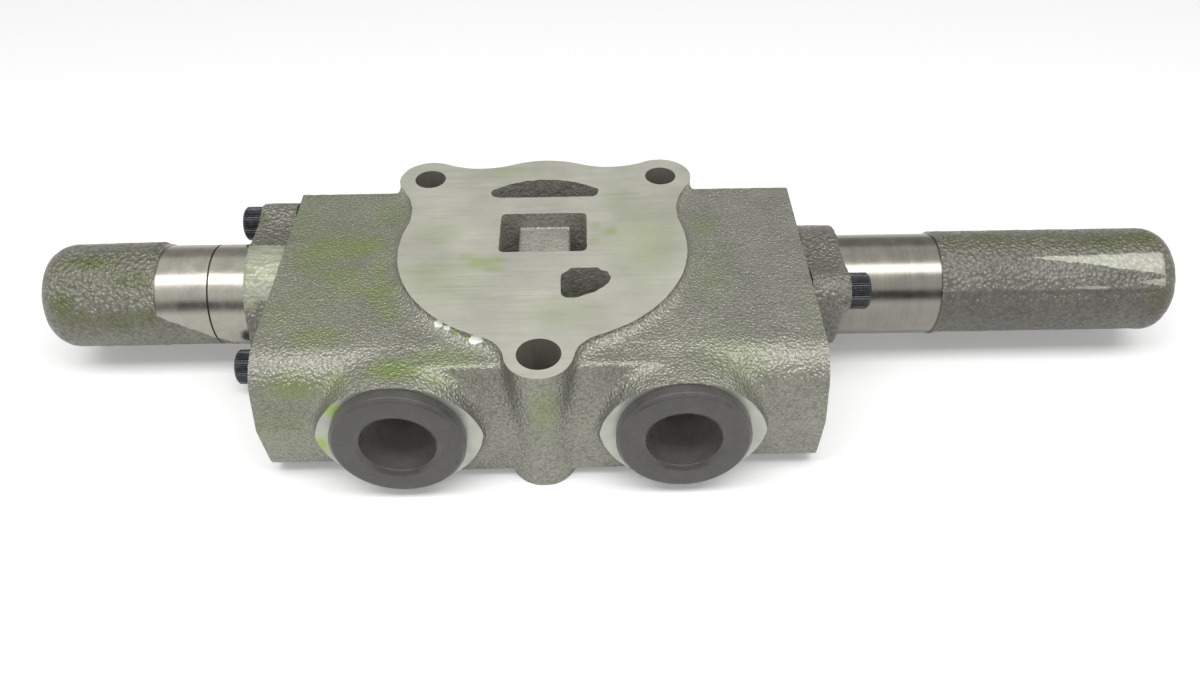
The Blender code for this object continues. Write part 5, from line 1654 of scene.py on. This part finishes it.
class VALVE_OT_stage(bpy.types.Operator):
    """Makes the camera, lamps, floor and cards"""

    bl_idname = "valve.stage"
    bl_label = "Stage"

    def execute(self, context):
        s = context.scene.valve_stage
        context.scene.view_settings.view_transform = "Standard"
        forward = Vector((sin(s.yaw) * cos(s.pitch), cos(s.yaw) * cos(s.pitch), -sin(s.pitch)))
        right = forward.cross(Vector((0, 0, 1))).normalized()
        up = right.cross(forward)
        leant_right = right * cos(s.roll) + up * sin(s.roll)
        leant_up = up * cos(s.roll) - right * sin(s.roll)
        camera = put(bpy.data.objects.new("camera", bpy.data.cameras.new("camera")))
        turned = Matrix((leant_right, leant_up, -forward)).transposed().to_4x4()
        camera.matrix_world = Matrix.Translation(s.camera_place) @ turned
        camera.data.lens = s.lens
        camera.data.sensor_width = 36.0
        camera.data.clip_start = 0.01
        context.scene.camera = camera
        lamp = bpy.data.lights.new("overhead_lamp", "AREA")
        lamp.shape = "RECTANGLE"
        lamp.size = 1.7
        lamp.size_y = 0.42
        lamp.energy = s.lamp_power
        overhead = put(bpy.data.objects.new("overhead_lamp", lamp))
        overhead.location = (0.0, -0.33, 1.0)
        overhead.rotation_euler = (radians(-16), 0.0, 0.0)
        make_floor(s.floor)
        make_card("front_card", (0.0, -1.3, 0.36), width=4.0, height=0.5, tone=s.front_card)
        make_card("back_card", (0.0, 1.3, 0.75), width=4.0, height=1.2, tone=s.back_card)
        light_world()
        return {"FINISHED"}


def stage_plane(name, matrix, finish_made):
    """A flat sheet of the stage, which isn't part of the object."""
    shape = bmesh.new()
    bmesh.ops.create_grid(shape, x_segments=1, y_segments=1, size=0.5, matrix=matrix)
    plane = to_object(name, shape)
    plane.data.materials.append(finish_made)
    return plane


def seen_rays(tree):
    """1 for what the camera sees directly, in metal or through glass, and 0 for light."""
    path = add_node(tree, "ShaderNodeLightPath", {})
    direct = {0: path.outputs["Is Camera Ray"], 1: path.outputs["Is Glossy Ray"]}
    seen = add_node(tree, "ShaderNodeMath", direct, 0, operation="MAXIMUM")
    through = path.outputs["Is Transmission Ray"]
    return add_node(tree, "ShaderNodeMath", {0: seen, 1: through}, 0, operation="MAXIMUM")


def make_floor(tone):
    """A pale floor that keeps the object's shadow, lifted a little where it is seen."""
    made, tree, _ = start_finish("pale_floor")
    lift = 0.2
    lifted = {0: seen_rays(tree), 1: lift}
    look = {
        "Base Color": shade(tone),
        "Roughness": 0.75,
        "Emission Color": WHITE,
        "Emission Strength": add_node(tree, "ShaderNodeMath", lifted, 0, operation="MULTIPLY"),
    }
    stage_plane("floor", Matrix.Scale(8.0, 4), join_shader(made, look))


def make_card(name, place, width, height, tone):
    """An upright card beside the stage, which only the metal sees."""
    made, _, _ = start_finish(name)
    look = {
        "Base Color": BLACK,
        "Roughness": 1.0,
        "Emission Color": shade(tone),
        "Emission Strength": 1.0,
    }
    stand = Matrix.Translation(place) @ Matrix.Rotation(pi / 2, 4, "X")
    size = Matrix.Diagonal((width, height, 1.0, 1.0))
    card = stage_plane(name, stand @ size, join_shader(made, look))
    card.visible_camera = False
    card.visible_diffuse = False
    card.visible_shadow = False


def light_world():
    """A soft grey light all round, behind a white background."""
    world = bpy.data.worlds.new("white_room")
    world.use_nodes = True
    tree = world.node_tree
    tree.nodes.clear()
    room_light = 0.42
    run = {"Value": seen_rays(tree), "To Min": room_light, "To Max": 1.0}
    strength = add_node(tree, "ShaderNodeMapRange", run, "Result")
    glow = {"Color": WHITE, "Strength": strength}
    light = add_node(tree, "ShaderNodeBackground", glow, "Background")
    add_node(tree, "ShaderNodeOutputWorld", {"Surface": light})
    bpy.context.scene.world = world


class VALVE_OT_body(bpy.types.Operator):
    """Makes the casting with its ground pads, faced ports, bores and galleries"""

    bl_idname = "valve.body"
    bl_label = "Body"

    def execute(self, context):
        finishes = {
            "skin": finish("shot_blasted_iron"),
            "ground": finish("ground_iron"),
            "faced": finish("faced_iron"),
            "bored": finish("bored_iron"),
            "core": finish("cored_iron"),
        }
        body = make_body(context.scene.valve_casting, finishes)
        register_piece(body, "section", "body_casting", "valve_body")
        return {"FINISHED"}


class VALVE_OT_caps(bpy.types.Operator):
    """Makes the short and the long spring cap"""

    bl_idname = "valve.caps"
    bl_label = "Caps"

    def execute(self, context):
        finishes = {
            "skin": finish("short_cap_cast_iron"),
            "turned": finish("turned_iron"),
            "scribed": finish("scribed_iron"),
            "bored": finish("bored_iron"),
        }
        settings = context.scene.valve_casting
        short = ("short_cap_casting", SHORT_CAP_END, SHORT_CAP_TURNED_END, GAUGE_LINE_AT, (-0.35, 0.42))
        cap = make_cap(*short, settings, finishes, OTHER_END)
        register_piece(cap, "section", "cap_casting", "short_cap")
        finishes["skin"] = finish("long_cap_cast_iron")
        finishes["turned"] = finish("oily_turned_iron")
        long = ("long_cap_casting", LONG_CAP_END, LONG_CAP_TURNED_END, None, (0.12, 0.2))
        cap = make_cap(*long, settings, finishes, None)
        register_piece(cap, "section", "cap_casting", "long_cap")
        return {"FINISHED"}


class VALVE_OT_cap_screws(bpy.types.Operator):
    """Makes the four socket head screws that hold the caps"""

    bl_idname = "valve.cap_screws"
    bl_label = "Cap screws"

    def execute(self, context):
        for end, turn in (("short", OTHER_END), ("long", None)):
            for level, place in SCREW_PLACES.items():
                node = f"{end}_cap_{level}_screw"
                screw = make_screw(node + "_knurled", place, finish("black_oxide_steel"), turn)
                register_piece(screw, "section", "black_steel", node)
        return {"FINISHED"}


class VALVE_OT_port_plugs(bpy.types.Operator):
    """Makes the two moulded plugs in the work ports"""

    bl_idname = "valve.port_plugs"
    bl_label = "Port plugs"

    def execute(self, context):
        for side, end in ((-1, "left"), (1, "right")):
            plug = make_port_plug(f"{end}_port_plug_moulded", side, finish("moulded_polyethylene"))
            register_piece(plug, f"{end}_plug", "plug_plastic", f"{end}_port_plug")
        return {"FINISHED"}


class VALVE_OT_spool(bpy.types.Operator):
    """Makes the spool with its seats, seat screw and guide rod"""

    bl_idname = "valve.spool"
    bl_label = "Spool"

    def execute(self, context):
        steel = finish("ground_steel")
        register_piece(make_spool(steel), "spool", "ground_steel", "spool")
        seat = make_seat("short_side_spring_seat_turned", steel, OTHER_END)
        register_piece(seat, "spool", "ground_steel", "short_side_spring_seat")
        seat = make_seat("long_side_spring_seat_turned", steel, None)
        register_piece(seat, "spool", "ground_steel", "long_side_spring_seat")
        screw = make_seat_screw(finish("black_oxide_steel"))
        register_piece(screw, "spool", "black_steel", "short_side_seat_screw")
        guide = make_guide_rod(steel)
        register_piece(guide, "spool", "ground_steel", "long_side_guide_rod")
        return {"FINISHED"}


class VALVE_OT_springs(bpy.types.Operator):
    """Makes the two centring springs and the load check's spring"""

    bl_idname = "valve.springs"
    bl_label = "Springs"

    def execute(self, context):
        wire = finish("oil_tempered_wire")
        low = SEAT_TOP + CLEAR
        for end, cap_end, coils, turn in (
            ("short", SHORT_CAP_END, 8, OTHER_END),
            ("long", LONG_CAP_END, 10, Matrix.Identity(4)),
        ):
            node = f"{end}_side_spring"
            high = cap_end - CAP_END_WALL - CLEAR
            spring = coil(node + "_wound", SPRING_RADIUS, SPRING_WIRE, low, high, coils, wire, turn)
            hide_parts(node)
            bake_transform(spring)
        place = Matrix.Translation(CHECK_PLACE) @ ONTO_Z
        ends = (CHECK_LEDGE, CHECK_SPRING_TOP)
        spring = coil("load_check_spring_wound", 5.3, 1.1, *ends, 4, wire, turn=place)
        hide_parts("load_check_spring")
        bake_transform(spring)
        return {"FINISHED"}


class VALVE_OT_seals(bpy.types.Operator):
    """Makes the ring seals under the caps and on the load check's plug"""

    bl_idname = "valve.seals"
    bl_label = "Seals"

    def execute(self, context):
        rubber = finish("nitrile_rubber")
        for end, turn in (("short", OTHER_END), ("long", None)):
            name = f"{end}_cap_seal_ring"
            seal = ring(name, CAP_SEAL_AT, CAP_SEAL_RADIUS, 2.3, rubber, turn)
            register_piece(seal, "section", "seal_rubber", f"{end}_cap_seal")
        place = Matrix.Translation(CHECK_PLACE) @ ONTO_Z
        seal = ring("load_check_seal_ring", CHECK_SEAL_AT, 8.05, 1.3, rubber, place)
        register_piece(seal, "section", "seal_rubber", "load_check_seal")
        return {"FINISHED"}


class VALVE_OT_load_check(bpy.types.Operator):
    """Makes the load check's poppet and plug"""

    bl_idname = "valve.load_check"
    bl_label = "Load check"

    def execute(self, context):
        place = Matrix.Translation(CHECK_PLACE) @ ONTO_Z
        steel = finish("ground_steel")
        register_piece(make_poppet(steel, place), "load_check", "ground_steel", "load_check_poppet")
        register_piece(make_check_plug(steel, place), "section", "ground_steel", "load_check_plug")
        return {"FINISHED"}


PIECES = (
    VALVE_OT_stage,
    VALVE_OT_body,
    VALVE_OT_caps,
    VALVE_OT_cap_screws,
    VALVE_OT_port_plugs,
    VALVE_OT_spool,
    VALVE_OT_springs,
    VALVE_OT_seals,
    VALVE_OT_load_check,
)


class VALVE_PT_section(bpy.types.Panel):
    """Lists the valve section's pieces"""

    bl_idname = "VALVE_PT_section"
    bl_label = "Directional valve section"
    bl_space_type = "VIEW_3D"
    bl_region_type = "UI"
    bl_category = "Valve section"

    def draw(self, context):
        for piece in PIECES:
            self.layout.operator(piece.bl_idname)


CLASSES = (ValveFinishes, ValveCasting, ValveStage, *PIECES, VALVE_PT_section)
GROUPS = {
    "valve_finishes": ValveFinishes,
    "valve_casting": ValveCasting,
    "valve_stage": ValveStage,
}


def register():
    """Adds the classes and the settings to Blender."""
    for made in CLASSES:
        bpy.utils.register_class(made)
    for name, group in GROUPS.items():
        setattr(bpy.types.Scene, name, bpy.props.PointerProperty(type=group))


def unregister():
    """Takes the settings and the classes out again."""
    for name in GROUPS:
        delattr(bpy.types.Scene, name)
    for made in reversed(CLASSES):
        bpy.utils.unregister_class(made)


def corners(box):
    """A box's two corners as lists."""
    return [list(corner) for corner in box]


def main():
    """Makes the stage and the pieces in order."""
    register()
    bpy.ops.valve.stage()
    bpy.ops.valve.body()
    bpy.ops.valve.caps()
    bpy.ops.valve.cap_screws()
    bpy.ops.valve.port_plugs()
    bpy.ops.valve.spool()
    bpy.ops.valve.springs()
    bpy.ops.valve.seals()
    bpy.ops.valve.load_check()
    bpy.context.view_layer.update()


if __name__ == "__main__":
    main()
